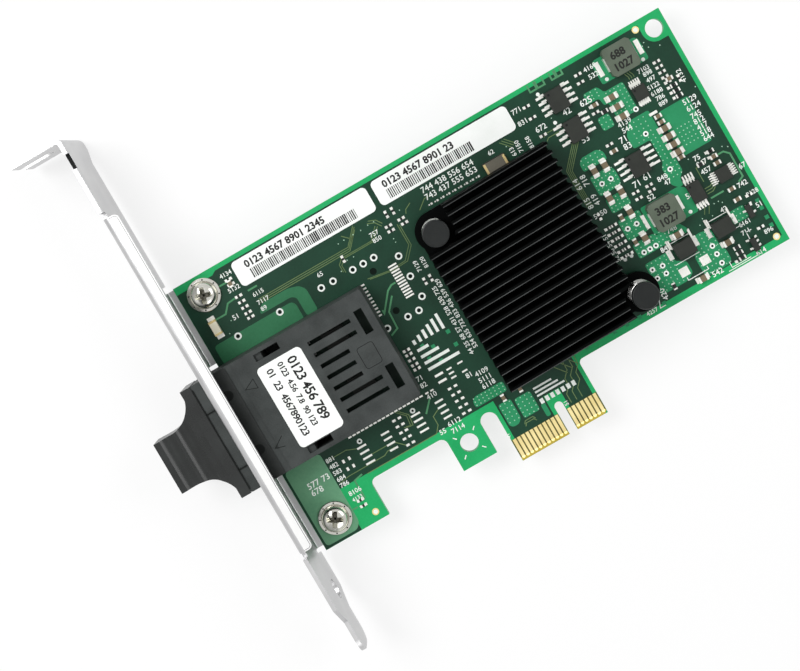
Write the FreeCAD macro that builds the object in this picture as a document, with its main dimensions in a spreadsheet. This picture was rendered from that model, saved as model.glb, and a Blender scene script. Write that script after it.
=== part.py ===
import FreeCAD, Part
import math
import os
import Sketcher

# A network interface card with an optical transceiver, in millimetres.
# x runs away from the slot bracket, y from the contact edge to the board's top, z out of the component side.
# The origin is the middle of the key notch, on the contact edge, on the solder face.

doc = FreeCAD.newDocument("network_card")

sizes = {
    # circuit board, from the middle of the key notch and from the contact edge
    "board_thick": 1.57,
    "bracket_edge": 56.85,
    "far_edge": 58.3,
    "low_edge": 12.5,
    "board_high": 54.7,
    "foot_line": 4.3,
    "leg_wide": 15.15,
    "recess_radius": 1.5,
    "hook_wide": 7.9,
    "slot_wide": 3.73,
    "slot_rise": 0.1,
    "tongue_left": 12.15,
    "tongue_right": 8.15,
    "tongue_radius": 1.0,
    "key_wide": 1.9,
    "key_deep": 7.2,
    "bevel_high": 0.9,
    "bevel_deep": 0.4,
    "hook_hole": 3.9,
    "hook_hole_rise": 4.62,
    "corner_hole": 3.8,
    "corner_hole_in": 2.77,
    "corner_hole_down": 3.2,
    # edge contacts
    "contact_wide": 0.7,
    "contact_pitch": 1.0,
    "contact_first": 1.5,
    "contact_long": 3.55,
    "contact_thick": 0.05,
    "contact_margin": 0.05,
    # slot bracket, folded from one sheet
    "sheet_thick": 0.86,
    "panel_gap": 1.77,
    "panel_over": 14.32,
    "panel_wide": 18.42,
    "head_wide": 21.59,
    "head_high": 2.9,
    "tab_rise": 37.1,
    "tab_out": 11.43,
    "tab_inset": 2.5,
    "tab_notch_wide": 4.42,
    "tab_notch_deep": 7.29,
    "tab_notch_in": 10.0,
    "bend_radius": 0.4,
    "bracket_high": 120.02,
    "foot_wide": 10.19,
    "foot_long": 7.42,
    "foot_radius": 3.0,
    "foot_hole": 4.4,
    "foot_hole_up": 12.72,
    "foot_hole_back": 11.42,
    "edge_notch_down": 3.5,
    "edge_notch_long": 3.4,
    "edge_notch_deep": 1.3,
    "flange_reach": 2.32,
    "flange_down": 18.4,
    "flange_up": 24.72,
    "flange_radius": 1.0,
    "relief_wide": 1.4,
    "relief_deep": 1.2,
    "lug_reach": 11.27,
    "lug_past_screw": 4.0,
    "lug_far_side": 13.6,
    "lug_radius": 2.0,
    "lug_hole": 3.0,
    # bracket screws
    "screw_in": 5.05,
    "screw_down": 4.23,
    "screw_up": 5.0,
    "screw_shank": 2.9,
    "screw_hole_play": 0.25,
    "screw_flange": 7.1,
    "screw_flange_thick": 0.6,
    "screw_dome": 5.2,
    "screw_dome_high": 1.6,
    "screw_past": 0.5,
    "cross_long": 3.0,
    "cross_wide": 0.8,
    "cross_deep": 1.1,
    # optical transceiver
    "module_long": 39.5,
    "module_high": 9.4,
    "module_lift": 0.4,
    "module_down": 30.9,
    "nose_out": 2.87,
    "nose_play": 0.3,
    "module_wall": 0.8,
    "module_radius": 0.5,
    "collar_long": 9.5,
    "collar_step": 0.25,
    "mark_slot_wide": 1.6,
    "mark_slot_long": 2.75,
    "mark_slot_deep": 0.6,
    "mark_slot_back": 5.35,
    "mark_slot_apart": 12.4,
    "vent_wide": 0.9,
    "vent_pitch": 2.6,
    "vent_long": 9.7,
    "vent_short": 6.6,
    "vent_from_rear": 14.5,
    "rear_window_long": 1.8,
    "rear_window_wide": 5.3,
    "rear_window_in": 2.65,
    "rear_window_apart": 12.6,
    "side_window_long": 5.5,
    "side_window_wide": 1.5,
    "side_window_back": 14.3,
    "side_window_apart": 21.4,
    "port_pitch": 12.7,
    "port_wide": 9.2,
    "port_wall": 1.4,
    "port_high": 7.4,
    "port_deep": 13.8,
    "partition_thick": 2.0,
    "barrel_wide": 5.6,
    "barrel_long": 9.0,
    "barrel_play": 0.1,
    "sleeve_wide": 4.6,
    "sleeve_long": 7.5,
    "optic_lead_wide": 0.45,
    "optic_lead_long": 2.2,
    "optic_lead_apart": 2.54,
    "base_thick": 0.8,
    "base_play": 0.1,
    "base_foot": 2.0,
    "rib_wide": 0.9,
    "post_wide": 1.9,
    "post_play": 0.15,
    "post_apart": 20.32,
    "post_in": 1.3,
    "post_past": 1.2,
    "inner_board_thick": 0.8,
    "inner_board_play": 0.3,
    "inner_chip": 5.0,
    "inner_chip_high": 1.0,
    "inner_chip_apart": 10.6,
    "inner_chip_in": 7.0,
    "pin_wide": 0.5,
    "pin_pitch": 2.54,
    "pin_hole_play": 0.2,
    "pin_in": 3.0,
    "pin_past": 1.3,
    # dust plug
    "plug_flange": 2.2,
    "plug_long": 12.5,
    "plug_grip_wide": 11.5,
    "plug_grip_high": 6.5,
    "plug_scoop": 6.4,
    "plug_wave_pitch": 3.9,
    "plug_wave_deep": 0.55,
    "plug_wave_radius": 2.6,
    "plug_play": 0.15,
    "prong_long": 9.0,
    "prong_bore": 5.4,
    # labels
    "label_thick": 0.12,
    "label_radius": 1.0,
    "strip_label_long": 32.0,
    "strip_label_wide": 5.6,
    "strip_label_in": 12.8,
    "strip_label_down": 1.35,
    "strip_label_apart": 1.2,
    "module_label_long": 10.05,
    "module_label_wide": 18.4,
    "module_label_back": 13.3,
    "module_label_aside": 0.55,
    # heat sink, turned a little on its package
    "sink_from_far": 49.75,
    "sink_up": 23.0,
    "sink_turn": 1.2,
    "sink_long": 31.8,
    "sink_base": 2.0,
    "fin_high": 7.1,
    "fin_thick": 0.67,
    "fin_pitch": 1.93,
    "lobe_radius": 4.1,
    "upper_pin_back": 12.28,
    "upper_pin_up": 15.46,
    "lower_pin_ahead": 16.95,
    "lower_pin_under": 16.73,
    "upper_pocket_long": 7.4,
    "upper_pocket_wide": 7.4,
    "lower_pocket_long": 2.75,
    "lower_pocket_wide": 6.15,
    "pocket_radius": 2.6,
    "pin_bore": 3.4,
    # controller under the heat sink
    "package_side": 23.0,
    "package_high": 2.0,
    "pad_thick": 0.5,
    # push pins and springs
    "cap_wide": 5.6,
    "cap_thick": 1.3,
    "cap_draft": 0.25,
    "push_shank": 2.9,
    "push_hole": 3.2,
    "barb_wide": 3.9,
    "barb_long": 2.7,
    "barb_tip": 2.0,
    "barb_play": 0.15,
    "barb_slot": 0.7,
    "spring_room": 7.0,
    "spring_wide": 5.6,
    "spring_wire": 0.5,
    "spring_pitch": 1.6,
    # crystal and lamp
    "crystal_long": 5.0,
    "crystal_wide": 3.2,
    "crystal_base_high": 0.4,
    "crystal_lid_high": 0.7,
    "crystal_rim": 0.2,
    "lamp_long": 3.2,
    "lamp_wide": 1.6,
    "lamp_high": 1.1,
    # inductors
    "coil_side": 6.3,
    "coil_high": 3.0,
    "coil_lift": 0.1,
    "coil_corner": 0.6,
    "coil_foot_wide": 3.0,
    "coil_foot_thick": 0.2,
    "coil_foot_high": 1.8,
    # chip capacitors and resistors: length, width, height and end terminal
    "large_cap_long": 2.1,
    "large_cap_wide": 1.3,
    "large_cap_high": 1.2,
    "large_cap_end": 0.45,
    "small_cap_long": 1.6,
    "small_cap_wide": 0.85,
    "small_cap_high": 0.8,
    "small_cap_end": 0.35,
    "resistor_long": 1.5,
    "resistor_wide": 0.8,
    "resistor_high": 0.45,
    "resistor_end": 0.3,
    "end_plating": 0.03,
}

# Leaded packages: body across the leads, body along them, height, lift off the board, lead width, pitch,
# how far the feet span, and lead thickness.
packages = {
    "so": (3.9, 4.9, 1.5, 0.15, 0.42, 1.27, 6.0, 0.2),
    "fine": (3.0, 3.0, 0.95, 0.1, 0.24, 0.5, 4.9, 0.15),
    "thin": (4.4, 3.0, 1.0, 0.1, 0.27, 0.65, 6.4, 0.15),
    "slab": (4.4, 3.6, 2.3, 0.1, 2.0, 2.5, 5.6, 0.2),
    "dot": (1.3, 2.9, 1.0, 0.1, 0.4, 0.95, 2.5, 0.15),
}
package_measures = ("across", "along", "high", "lift", "lead_wide", "pitch", "span", "lead_thick")
for kind, measures in packages.items():
    for measure, value in zip(package_measures, measures):
        sizes[f"{kind}_{measure}"] = value

# Places of the pieces on the board, in from the far edge, and down from the top edge or up from the low edge.
upper_places = {
    "upper_coil": (11.95, 4.9),
    "upper_switch": (27.25, 5.9),
    "middle_switch": (27.05, 13.05),
    "upper_driver": (11.8, 13.2),
    "crystal": (44.7, 11.3),
}
lower_places = {
    "memory_chip": (19.5, 29.15),
    "lower_coil": (19.65, 17.7),
    "lower_driver": (5.3, 18.5),
    "sense_chip": (11.9, 18.1),
    "left_diode": (19.8, 9.35),
    "right_diode": (10.85, 9.2),
    "transistor": (4.4, 9.2),
    "monitor_chip": (6.85, 2.7),
}

# Rows of chip capacitors and resistors: first place, in from the far edge and down, up, or up from the
# board's middle, then the step in and the step down to the next one.
upper_rows = {
    "input_caps": (17.35, 11.05, 0, 2.25),
    "input_filter_cap": (21.2, 10.7, 0, 0),
    "top_cap": (5.3, 13.65, 0, 0),
    "edge_resistors": (5.1, 15.25, 0, 1.2),
    "input_resistor": (20.0, 12.85, 0, 0),
    "corner_cap": (104.27, 4.88, 0, 0),
}
middle_rows = {
    "filter_caps": (11.1, 8.15, 0, 1.35),
    "output_caps": (11.15, 5.35, 0, 1.85),
    "end_cap": (11.15, -1.45, 0, 0),
}
lower_rows = {
    "bias_cap": (22.4, 33.85, 0, 0),
    "side_caps": (27.95, 32.3, -2.45, 0),
    "middle_caps": (28.0, 25.9, -2.75, 0),
    "side_filter_caps": (27.85, 21.2, 0, 5.8),
    "lower_caps": (25.75, 21.4, 0, 6.2),
    "coil_cap": (19.7, 12.4, 0, 0),
    "far_diode_cap": (11.5, 5.85, 0, 0),
    "low_diode_cap": (19.5, 1.95, 0, 0),
    "drive_resistors": (5.3, 23.95, 3.1, 1.4),
    "edge_filter_caps": (5.3, 22.65, 0, 1.5),
    "low_edge_caps": (5.4, 15.0, 0, 2.45),
    "corner_resistors": (10.35, 3.95, 0, 1.2),
    "low_resistor": (25.4, 3.45, 0, 0),
    "under_sink_caps": (67.4, 1.1, -3.9, 0),
}
for name, (inset, drop) in upper_places.items():
    sizes[f"{name}_in"] = inset
    sizes[f"{name}_down"] = drop
for name, (inset, rise) in lower_places.items():
    sizes[f"{name}_in"] = inset
    sizes[f"{name}_up"] = rise
sizes["lamp_in"] = 3.7
sizes["lamp_down"] = 11.25
for rows, measure in ((upper_rows, "down"), (middle_rows, "rise"), (lower_rows, "up")):
    for name, (inset, height, step_in, step_down) in rows.items():
        sizes[f"{name}_in"] = inset
        sizes[f"{name}_{measure}"] = height
        if step_in:
            sizes[f"{name}_step_in"] = step_in
        if step_down:
            sizes[f"{name}_step_down"] = step_down

sheet = doc.addObject("Spreadsheet::Sheet", "Sizes")
for line, (alias, value) in enumerate(sizes.items(), start=1):
    sheet.set(f"A{line}", alias)
    sheet.set(f"B{line}", str(value))
    sheet.setAlias(f"B{line}", alias)
doc.recompute()


class Length:
    # A length as its present value and as the expression that gives it from the sheet.

    def __init__(self, value, text):
        self.value = value
        self.text = text

    def __add__(self, other):
        other = as_length(other)
        return Length(self.value + other.value, f"({self.text} + {other.text})")

    def __sub__(self, other):
        other = as_length(other)
        return Length(self.value - other.value, f"({self.text} - {other.text})")

    def __mul__(self, other):
        other = as_length(other)
        return Length(self.value * other.value, f"({self.text} * {other.text})")

    def __truediv__(self, other):
        other = as_length(other)
        return Length(self.value / other.value, f"({self.text} / {other.text})")

    def __neg__(self):
        return Length(-self.value, f"(-{self.text})")


def as_length(value):
    return value if isinstance(value, Length) else Length(value, str(value))


class Sizes:
    # The sheet's cells by name.

    def __getattr__(self, alias):
        return Length(sizes[alias], f"Sizes.{alias}")


s = Sizes()
past = as_length(1)


def sine(angle):
    return Length(math.sin(math.radians(angle.value)), f"sin({angle.text} * 1deg)")


def cosine(angle):
    return Length(math.cos(math.radians(angle.value)), f"cos({angle.text} * 1deg)")


def mirrored(offset):
    # An offset to each side of a middle line.
    return (-offset, offset)


# Primitives

def move(piece, place):
    for axis, value in zip("xyz", place):
        piece.setExpression(f"Placement.Base.{axis}", as_length(value).text)


def block(name, low, high):
    # A box between two opposite corners.
    piece = doc.addObject("Part::Box", name)
    for measure, start, end in zip(("Length", "Width", "Height"), low, high):
        piece.setExpression(measure, (as_length(end) - start).text)
    move(piece, low)
    return piece


def centred(middle, long, wide, low, high):
    # Opposite corners of a box centred on a place on the board.
    return (
        (middle[0] - long / 2, middle[1] - wide / 2, low),
        (middle[0] + long / 2, middle[1] + wide / 2, high),
    )


def rod(name, place, length, width, axis="z"):
    # A cylinder of a given diameter, from a place along an axis.
    piece = doc.addObject("Part::Cylinder", name)
    turns = {"x": FreeCAD.Rotation(FreeCAD.Vector(0, 1, 0), 90), "z": FreeCAD.Rotation()}
    piece.Placement = FreeCAD.Placement(FreeCAD.Vector(), turns[axis])
    piece.setExpression("Radius", (width / 2).text)
    piece.setExpression("Height", as_length(length).text)
    move(piece, place)
    return piece


def join(name, pieces):
    result = doc.addObject("Part::MultiFuse", name)
    result.Shapes = pieces
    return result


def cut(name, base, tools):
    result = doc.addObject("Part::Cut", name)
    result.Base = base
    result.Tool = tools[0] if len(tools) == 1 else group(f"{name}_tools", tools)
    return result


def group(name, pieces):
    result = doc.addObject("Part::Compound", name)
    result.Links = pieces
    return result


# Sketches and features

def new_body(name):
    return doc.addObject("PartDesign::Body", name)


def new_sketch(body, role, level=0):
    # A sketch on one of the body's origin planes, raised along the plane's normal.
    plane = next(item for item in body.Origin.OriginFeatures if item.Role == role)
    sketch = body.newObject("Sketcher::SketchObject", f"{body.Name}_sketch")
    sketch.AttachmentSupport = [(plane, "")]
    sketch.MapMode = "FlatFace"
    sketch.setExpression("AttachmentOffset.Base.z", as_length(level).text)
    return sketch


def pin(sketch, item, end, measures):
    for kind, value in zip(("DistanceX", "DistanceY"), measures):
        if value is None:
            continue
        value = as_length(value)
        index = sketch.addConstraint(Sketcher.Constraint(kind, -1, 1, item, end, value.value))
        sketch.setExpression(f"Constraints[{index}]", value.text)


def arc_between(start, end, centre, left):
    # The arc from start to end round a centre, turning left or right.
    first, second = (start, end) if left else (end, start)
    radius = math.hypot(start[0] - centre[0], start[1] - centre[1])
    angles = [math.atan2(spot[1] - centre[1], spot[0] - centre[0]) for spot in (first, second)]
    if angles[1] <= angles[0]:
        angles[1] += 2 * math.pi
    circle = Part.Circle(FreeCAD.Vector(*centre, 0), FreeCAD.Vector(0, 0, 1), radius)
    return Part.ArcOfCircle(circle, *angles)


def outline(sketch, points):
    # A closed outline through points. An entry (centre_u, centre_v, "left" or "right") between two points
    # makes the stretch between them an arc that turns that way.
    corners = [point for point in points if len(point) == 2]
    values = [tuple(as_length(value).value for value in corner) for corner in corners]
    first = sketch.GeometryCount
    ends = []
    arcs = []
    turn = None
    order = points[1:] + points[:1]
    index = 0
    for point in order:
        if len(point) == 3:
            turn = point
            continue
        start, end = values[index], values[(index + 1) % len(values)]
        item = first + index
        if turn is None:
            sketch.addGeometry(Part.LineSegment(FreeCAD.Vector(*start, 0), FreeCAD.Vector(*end, 0)))
            ends.append((item, 1, 2))
        else:
            centre = tuple(as_length(value).value for value in turn[:2])
            left = turn[2] == "left"
            sketch.addGeometry(arc_between(start, end, centre, left))
            ends.append((item, 1, 2) if left else (item, 2, 1))
            upright = abs(end[0] - start[0]) < abs(end[1] - start[1])
            arcs.append((item, (turn[0], None) if upright else (None, turn[1])))
        turn = None
        index += 1
    for (item, _, end), (after, start, _) in zip(ends, ends[1:] + ends[:1]):
        sketch.addConstraint(Sketcher.Constraint("Coincident", item, end, after, start))
    for (item, start, _), corner in zip(ends, corners):
        pin(sketch, item, start, corner)
    for item, measures in arcs:
        pin(sketch, item, 3, measures)


def rectangle(sketch, low, high):
    outline(sketch, [low, (high[0], low[1]), high, (low[0], high[1])])


def round_slot(sketch, middle, low, high, width):
    # A slot along v whose far end is a half circle.
    half = width / 2
    outline(sketch, [
        (middle - half, low),
        (middle + half, low),
        (middle + half, high - half),
        (middle, high - half, "left"),
        (middle - half, high - half),
    ])


def circle(sketch, centre, width):
    values = [as_length(value).value for value in centre]
    item = sketch.addGeometry(
        Part.Circle(FreeCAD.Vector(*values, 0), FreeCAD.Vector(0, 0, 1), as_length(width).value / 2))
    pin(sketch, item, 3, centre)
    index = sketch.addConstraint(Sketcher.Constraint("Diameter", item, as_length(width).value))
    sketch.setExpression(f"Constraints[{index}]", as_length(width).text)


def pad(body, sketch, length, back=False):
    feature = body.newObject("PartDesign::Pad", f"{body.Name}_pad")
    feature.Profile = sketch
    feature.setExpression("Length", as_length(length).text)
    feature.Reversed = back
    body.Tip = feature
    return feature


def pocket(body, sketch, length=None, back=False):
    # A cut against the sketch's normal, or right through both ways where no length is given.
    feature = body.newObject("PartDesign::Pocket", f"{body.Name}_pocket")
    feature.Profile = sketch
    if length is None:
        feature.Type = "ThroughAll"
        feature.SideType = "Symmetric"
    else:
        feature.setExpression("Length", as_length(length).text)
        feature.Reversed = back
    body.Tip = feature
    return feature


def edges_at(feature, between=None, **where):
    # The names of the edges whose ends all lie at the given x, y and z, and between two heights where given.
    doc.recompute()
    low, high = (as_length(value).value for value in between or (-math.inf, math.inf))
    names = []
    for number, edge in enumerate(feature.Shape.Edges, start=1):
        ends = [vertex.Point for vertex in edge.Vertexes]
        in_place = all(
            abs(getattr(end, axis) - as_length(value).value) < 1e-5
            for end in ends for axis, value in where.items())
        if in_place and all(low - 1e-5 < end.y < high + 1e-5 for end in ends):
            names.append(f"Edge{number}")
    return names


def round_off(body, feature, edges, radius):
    result = body.newObject("PartDesign::Fillet", f"{body.Name}_fillet")
    result.Base = (feature, edges)
    result.setExpression("Radius", as_length(radius).text)
    body.Tip = result
    return result


def revolve(body, sketch):
    # A full turn about the sketch's upright axis.
    feature = body.newObject("PartDesign::Revolution", f"{body.Name}_turn")
    feature.Profile = sketch
    feature.ReferenceAxis = (sketch, ["V_Axis"])
    feature.Angle = 360
    body.Tip = feature
    return feature


def repeat(body, feature, sketch, axis, length, count):
    result = body.newObject("PartDesign::LinearPattern", f"{body.Name}_row")
    result.Originals = [feature]
    result.Direction = (sketch, [axis])
    result.setExpression("Length", as_length(length).text)
    result.Occurrences = round(count)
    body.Tip = result
    return result


# Shared places

face = s.board_thick
left = -s.bracket_edge
right = s.far_edge
bottom = s.low_edge
top = bottom + s.board_high

leg_right = left + s.leg_wide
hook_right = -s.tongue_left - s.slot_wide
hook_left = hook_right - s.hook_wide
hook_hole = (hook_left + s.hook_wide / 2, s.foot_line + s.hook_hole_rise)
corner_hole = (right - s.corner_hole_in, top - s.corner_hole_down)

screw_x = left + s.screw_in
screw_heights = (s.foot_line + s.screw_up, top - s.screw_down)

panel_in = left - s.panel_gap
panel_out = panel_in - s.sheet_thick
bracket_front = face + s.panel_over

module_wide = s.port_pitch + s.port_wide + s.port_wall * 2
module_y = top - s.module_down
module_front = panel_out - s.nose_out
module_rear = module_front + s.module_long
module_low = face + s.module_lift
module_top = module_low + s.module_high
module_mid = module_low + s.module_high / 2
room_front = module_front + s.port_deep + s.partition_thick
inner_board_low = module_mid - s.inner_board_thick - s.optic_lead_wide / 2
inner_board_front = room_front + s.barrel_long - s.partition_thick + s.inner_board_play
pin_x = module_rear - s.pin_in
base_start = room_front + s.base_play
post_x = base_start + s.post_in
pin_shifts = range(-4, 5)

sink_x = right - s.sink_from_far
sink_y = bottom + s.sink_up
package_top = face + s.package_high
sink_low = package_top + s.pad_thick
sink_face = sink_low + s.sink_base
sink_pins = {
    "upper": (-s.upper_pin_back, s.upper_pin_up),
    "lower": (s.lower_pin_ahead, -s.lower_pin_under),
}


def on_board(local):
    # A place on the turned heat sink, in the board's frame.
    along, up = local
    return (
        sink_x + along * cosine(s.sink_turn) - up * sine(s.sink_turn),
        sink_y + along * sine(s.sink_turn) + up * cosine(s.sink_turn),
    )


push_places = [on_board(local) for local in sink_pins.values()]


def spot(name):
    # A place on the board from the edges it is measured from.
    across = right - getattr(s, f"{name}_in")
    if f"{name}_down" in sizes:
        return (across, top - getattr(s, f"{name}_down"))
    if f"{name}_up" in sizes:
        return (across, bottom + getattr(s, f"{name}_up"))
    return (across, bottom + s.board_high / 2 + getattr(s, f"{name}_rise"))


# Circuit board

def make_board():
    body = new_body("circuit_board")
    sketch = new_sketch(body, "XY_Plane")
    outline(sketch, [
        (left, s.foot_line),
        (leg_right, s.foot_line),
        (leg_right, bottom),
        (hook_left, bottom),
        (hook_left, s.foot_line),
        (hook_right, s.foot_line),
        (hook_right, 0),
        (s.tongue_right, 0),
        (s.tongue_right, bottom),
        (right, bottom),
        (right, top),
        (left, top),
    ])
    laminate = pad(body, sketch, s.board_thick)

    cuts = new_sketch(body, "XY_Plane")
    round_slot(cuts, hook_right + s.slot_wide / 2, -past, bottom + s.slot_rise, s.slot_wide)
    round_slot(cuts, as_length(0), -past, s.key_deep, s.key_wide)
    circle(cuts, hook_hole, s.hook_hole)
    circle(cuts, corner_hole, s.corner_hole)
    for height in screw_heights:
        circle(cuts, (screw_x, height), s.screw_shank + s.screw_hole_play * 2)
    for place in push_places:
        circle(cuts, place, s.push_hole)
    for aside in mirrored(s.post_apart / 2):
        circle(cuts, (post_x, module_y + aside), s.post_wide + s.post_play * 2)
    half = s.pin_wide / 2 + s.pin_hole_play
    for shift in pin_shifts:
        pin_y = module_y + s.pin_pitch * shift
        rectangle(cuts, (pin_x - half, pin_y - half), (pin_x + half, pin_y + half))
    holes = pocket(body, cuts)

    corners = edges_at(holes, x=leg_right, y=bottom) + edges_at(holes, x=hook_left, y=bottom)
    recess = round_off(body, holes, corners, s.recess_radius)
    tongue = round_off(body, recess, edges_at(recess, x=s.tongue_right, y=bottom), s.tongue_radius)

    # the lead-in bevel along the contact edge, on both faces
    bevels = new_sketch(body, "YZ_Plane")
    outline(bevels, [
        (0, face - s.bevel_deep), (s.bevel_high, face), (-past, face + past), (-past, face - s.bevel_deep),
    ])
    outline(bevels, [(0, s.bevel_deep), (-past, s.bevel_deep), (-past, -past), (s.bevel_high, 0)])
    pocket(body, bevels)
    return body


def make_contacts():
    middles = [-s.contact_first - s.contact_pitch * step for step in range(11)]
    middles += [s.contact_first + s.contact_pitch * step for step in range(7)]
    low = s.bevel_high + s.contact_margin
    strips = []
    for middle in middles:
        for start, end in ((-s.contact_thick, as_length(0)), (face, face + s.contact_thick)):
            half = s.contact_wide / 2
            corners = (middle - half, low, start), (middle + half, low + s.contact_long, end)
            strips.append(block("contact", *corners))
    return group("edge_contacts", strips)


# Slot bracket: one folded sheet

def make_bracket():
    body = new_body("io_bracket")
    thick = s.sheet_thick
    tab_top = top + s.tab_rise
    tip = tab_top - s.bracket_high
    tab_free = panel_in - s.tab_out
    panel_back = bracket_front - s.panel_wide
    head_back = bracket_front - s.head_wide
    middle = bracket_front - s.panel_wide / 2
    foot_back = middle - s.foot_wide / 2
    foot_front = middle + s.foot_wide / 2
    shoulder_low = tip + s.foot_long
    shoulder_high = shoulder_low + (s.panel_wide - s.foot_wide) / 2
    neck = tab_top - s.head_high
    outer = s.bend_radius + thick

    # the panel and the tab that the chassis screw holds, bent in one
    profile = new_sketch(body, "XY_Plane", head_back)
    bend_x = panel_in - outer
    bend_y = tab_top - outer
    outline(profile, [
        (panel_in, tip),
        (panel_in, bend_y),
        (bend_x, bend_y, "left"),
        (bend_x, tab_top),
        (tab_free, tab_top),
        (tab_free, tab_top - thick),
        (bend_x, tab_top - thick),
        (bend_x, bend_y, "right"),
        (panel_out, bend_y),
        (panel_out, tip),
    ])
    pad(body, profile, s.head_wide)

    # the panel's outline, seen along the board
    trims = new_sketch(body, "YZ_Plane")
    outline(trims, [
        (tip - past, head_back - past),
        (neck, head_back - past),
        (neck, head_back),
        (neck - (s.head_wide - s.panel_wide), panel_back),
        (shoulder_high, panel_back),
        (shoulder_low, foot_back),
        (tip - past, foot_back),
    ])
    outline(trims, [
        (tip - past, foot_front),
        (shoulder_low, foot_front),
        (shoulder_high, bracket_front),
        (shoulder_high, bracket_front + past),
        (tip - past, bracket_front + past),
    ])
    outline(trims, [
        (tab_top - s.tab_inset, head_back - past),
        (tab_top + past, head_back - past),
        (tab_top + past, head_back + s.tab_inset),
        (tab_top, head_back + s.tab_inset),
        (tab_top - s.tab_inset, head_back + s.tab_inset, "right"),
        (tab_top - s.tab_inset, head_back),
    ])
    pocket(body, trims)

    # the tab's own edge and its open notch
    tab_cuts = new_sketch(body, "XZ_Plane")
    notch_z = bracket_front - s.tab_notch_in
    half = s.tab_notch_wide / 2
    notch_end = tab_free + s.tab_notch_deep - half
    rectangle(tab_cuts, (tab_free - past, head_back - past), (panel_out, head_back + s.tab_inset))
    outline(tab_cuts, [
        (tab_free - past, notch_z - half),
        (notch_end, notch_z - half),
        (notch_end, notch_z, "left"),
        (notch_end, notch_z + half),
        (tab_free - past, notch_z + half),
    ])
    pocket(body, tab_cuts)

    # openings: the transceiver's nose, the hole above the foot, the edge notch, and reliefs beside the bends
    openings = new_sketch(body, "YZ_Plane")
    nose_half = module_wide / 2 + s.nose_play
    rectangle(
        openings,
        (module_y - nose_half, module_low - s.nose_play),
        (module_y + nose_half, module_top + s.nose_play))
    circle(openings, (tip + s.foot_hole_up, bracket_front - s.foot_hole_back), s.foot_hole)
    notch_top = tab_top - s.edge_notch_down
    rectangle(
        openings,
        (notch_top - s.edge_notch_long, bracket_front - s.edge_notch_deep),
        (notch_top, bracket_front + past))
    flange_low = tip + s.flange_up
    flange_high = tab_top - s.flange_down
    flange_relief = bracket_front - outer - s.relief_deep
    for start, end in ((flange_low - s.relief_wide, flange_low), (flange_high, flange_high + s.relief_wide)):
        rectangle(openings, (start, flange_relief), (end, bracket_front + past))
    lug_spans = (
        (screw_heights[0] - s.lug_past_screw, screw_heights[0] + s.lug_far_side),
        (screw_heights[1] - s.lug_far_side, screw_heights[1] + s.lug_past_screw),
    )
    lug_relief = outer - thick + s.relief_deep
    for start, end in lug_spans:
        outline(openings, [
            (start - s.relief_wide, panel_back - past),
            (end + s.relief_wide, panel_back - past),
            (end + s.relief_wide, lug_relief),
            (end, lug_relief),
            (end, -thick),
            (start, -thick),
            (start, lug_relief),
            (start - s.relief_wide, lug_relief),
        ])
    panel = pocket(body, openings)

    foot_corners = edges_at(panel, y=tip, z=foot_back) + edges_at(panel, y=tip, z=foot_front)
    round_off(body, panel, foot_corners, s.foot_radius)

    # the stiffening flange along the front edge
    flange_free = panel_in + s.flange_reach
    flange_sketch = new_sketch(body, "XY_Plane", bracket_front - thick)
    rectangle(flange_sketch, (panel_out, flange_low), (flange_free, flange_high))
    pad(body, flange_sketch, thick)

    # the lugs that lie under the board
    lug_end = panel_in + s.lug_reach
    lug_sketch = new_sketch(body, "XY_Plane", -thick)
    for start, end in lug_spans:
        rectangle(lug_sketch, (panel_out, start), (lug_end, end))
    lugs = pad(body, lug_sketch, thick)

    flange_span = (flange_low, flange_high)
    outer_bends = edges_at(lugs, flange_span, x=panel_out, z=bracket_front)
    outer_bends += edges_at(lugs, x=panel_out, z=-thick)
    outside = round_off(body, lugs, outer_bends, outer)
    inner_bends = edges_at(outside, x=panel_in, z=bracket_front - thick) + edges_at(outside, x=panel_in, z=0)
    inside = round_off(body, outside, inner_bends, s.bend_radius)

    corners = []
    for start, end in lug_spans:
        corners += edges_at(inside, x=lug_end, y=start) + edges_at(inside, x=lug_end, y=end)
    lug_corners = round_off(body, inside, corners, s.lug_radius)
    corners = []
    for end in flange_span:
        corners += edges_at(lug_corners, x=flange_free, y=end)
    round_off(body, lug_corners, corners, s.flange_radius)

    threads = new_sketch(body, "XY_Plane")
    for height in screw_heights:
        circle(threads, (screw_x, height), s.lug_hole)
    pocket(body, threads, thick + past)
    return body


def make_screw(height):
    body = new_body("bracket_screw")
    profile = new_sketch(body, "XZ_Plane")
    shank = s.screw_shank / 2
    shoulder = face + s.screw_flange_thick
    crown = shoulder + s.screw_dome_high
    dome = s.screw_dome / 2
    outline(profile, [
        (0, -s.sheet_thick - s.screw_past),
        (shank, -s.sheet_thick - s.screw_past),
        (shank, face),
        (s.screw_flange / 2, face),
        (s.screw_flange / 2, shoulder),
        (dome, shoulder),
        (dome - s.screw_dome_high / 2, crown),
        (0, crown),
    ])
    revolve(body, profile)
    recess = new_sketch(body, "XY_Plane", crown)
    arm = s.cross_long / 2
    half = s.cross_wide / 2
    outline(recess, [
        (-arm, -half), (-half, -half), (-half, -arm), (half, -arm), (half, -half), (arm, -half),
        (arm, half), (half, half), (half, arm), (-half, arm), (-half, half), (-arm, half),
    ])
    pocket(body, recess, s.cross_deep)
    move(body, (screw_x, height, 0))
    return body


# Optical transceiver

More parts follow.
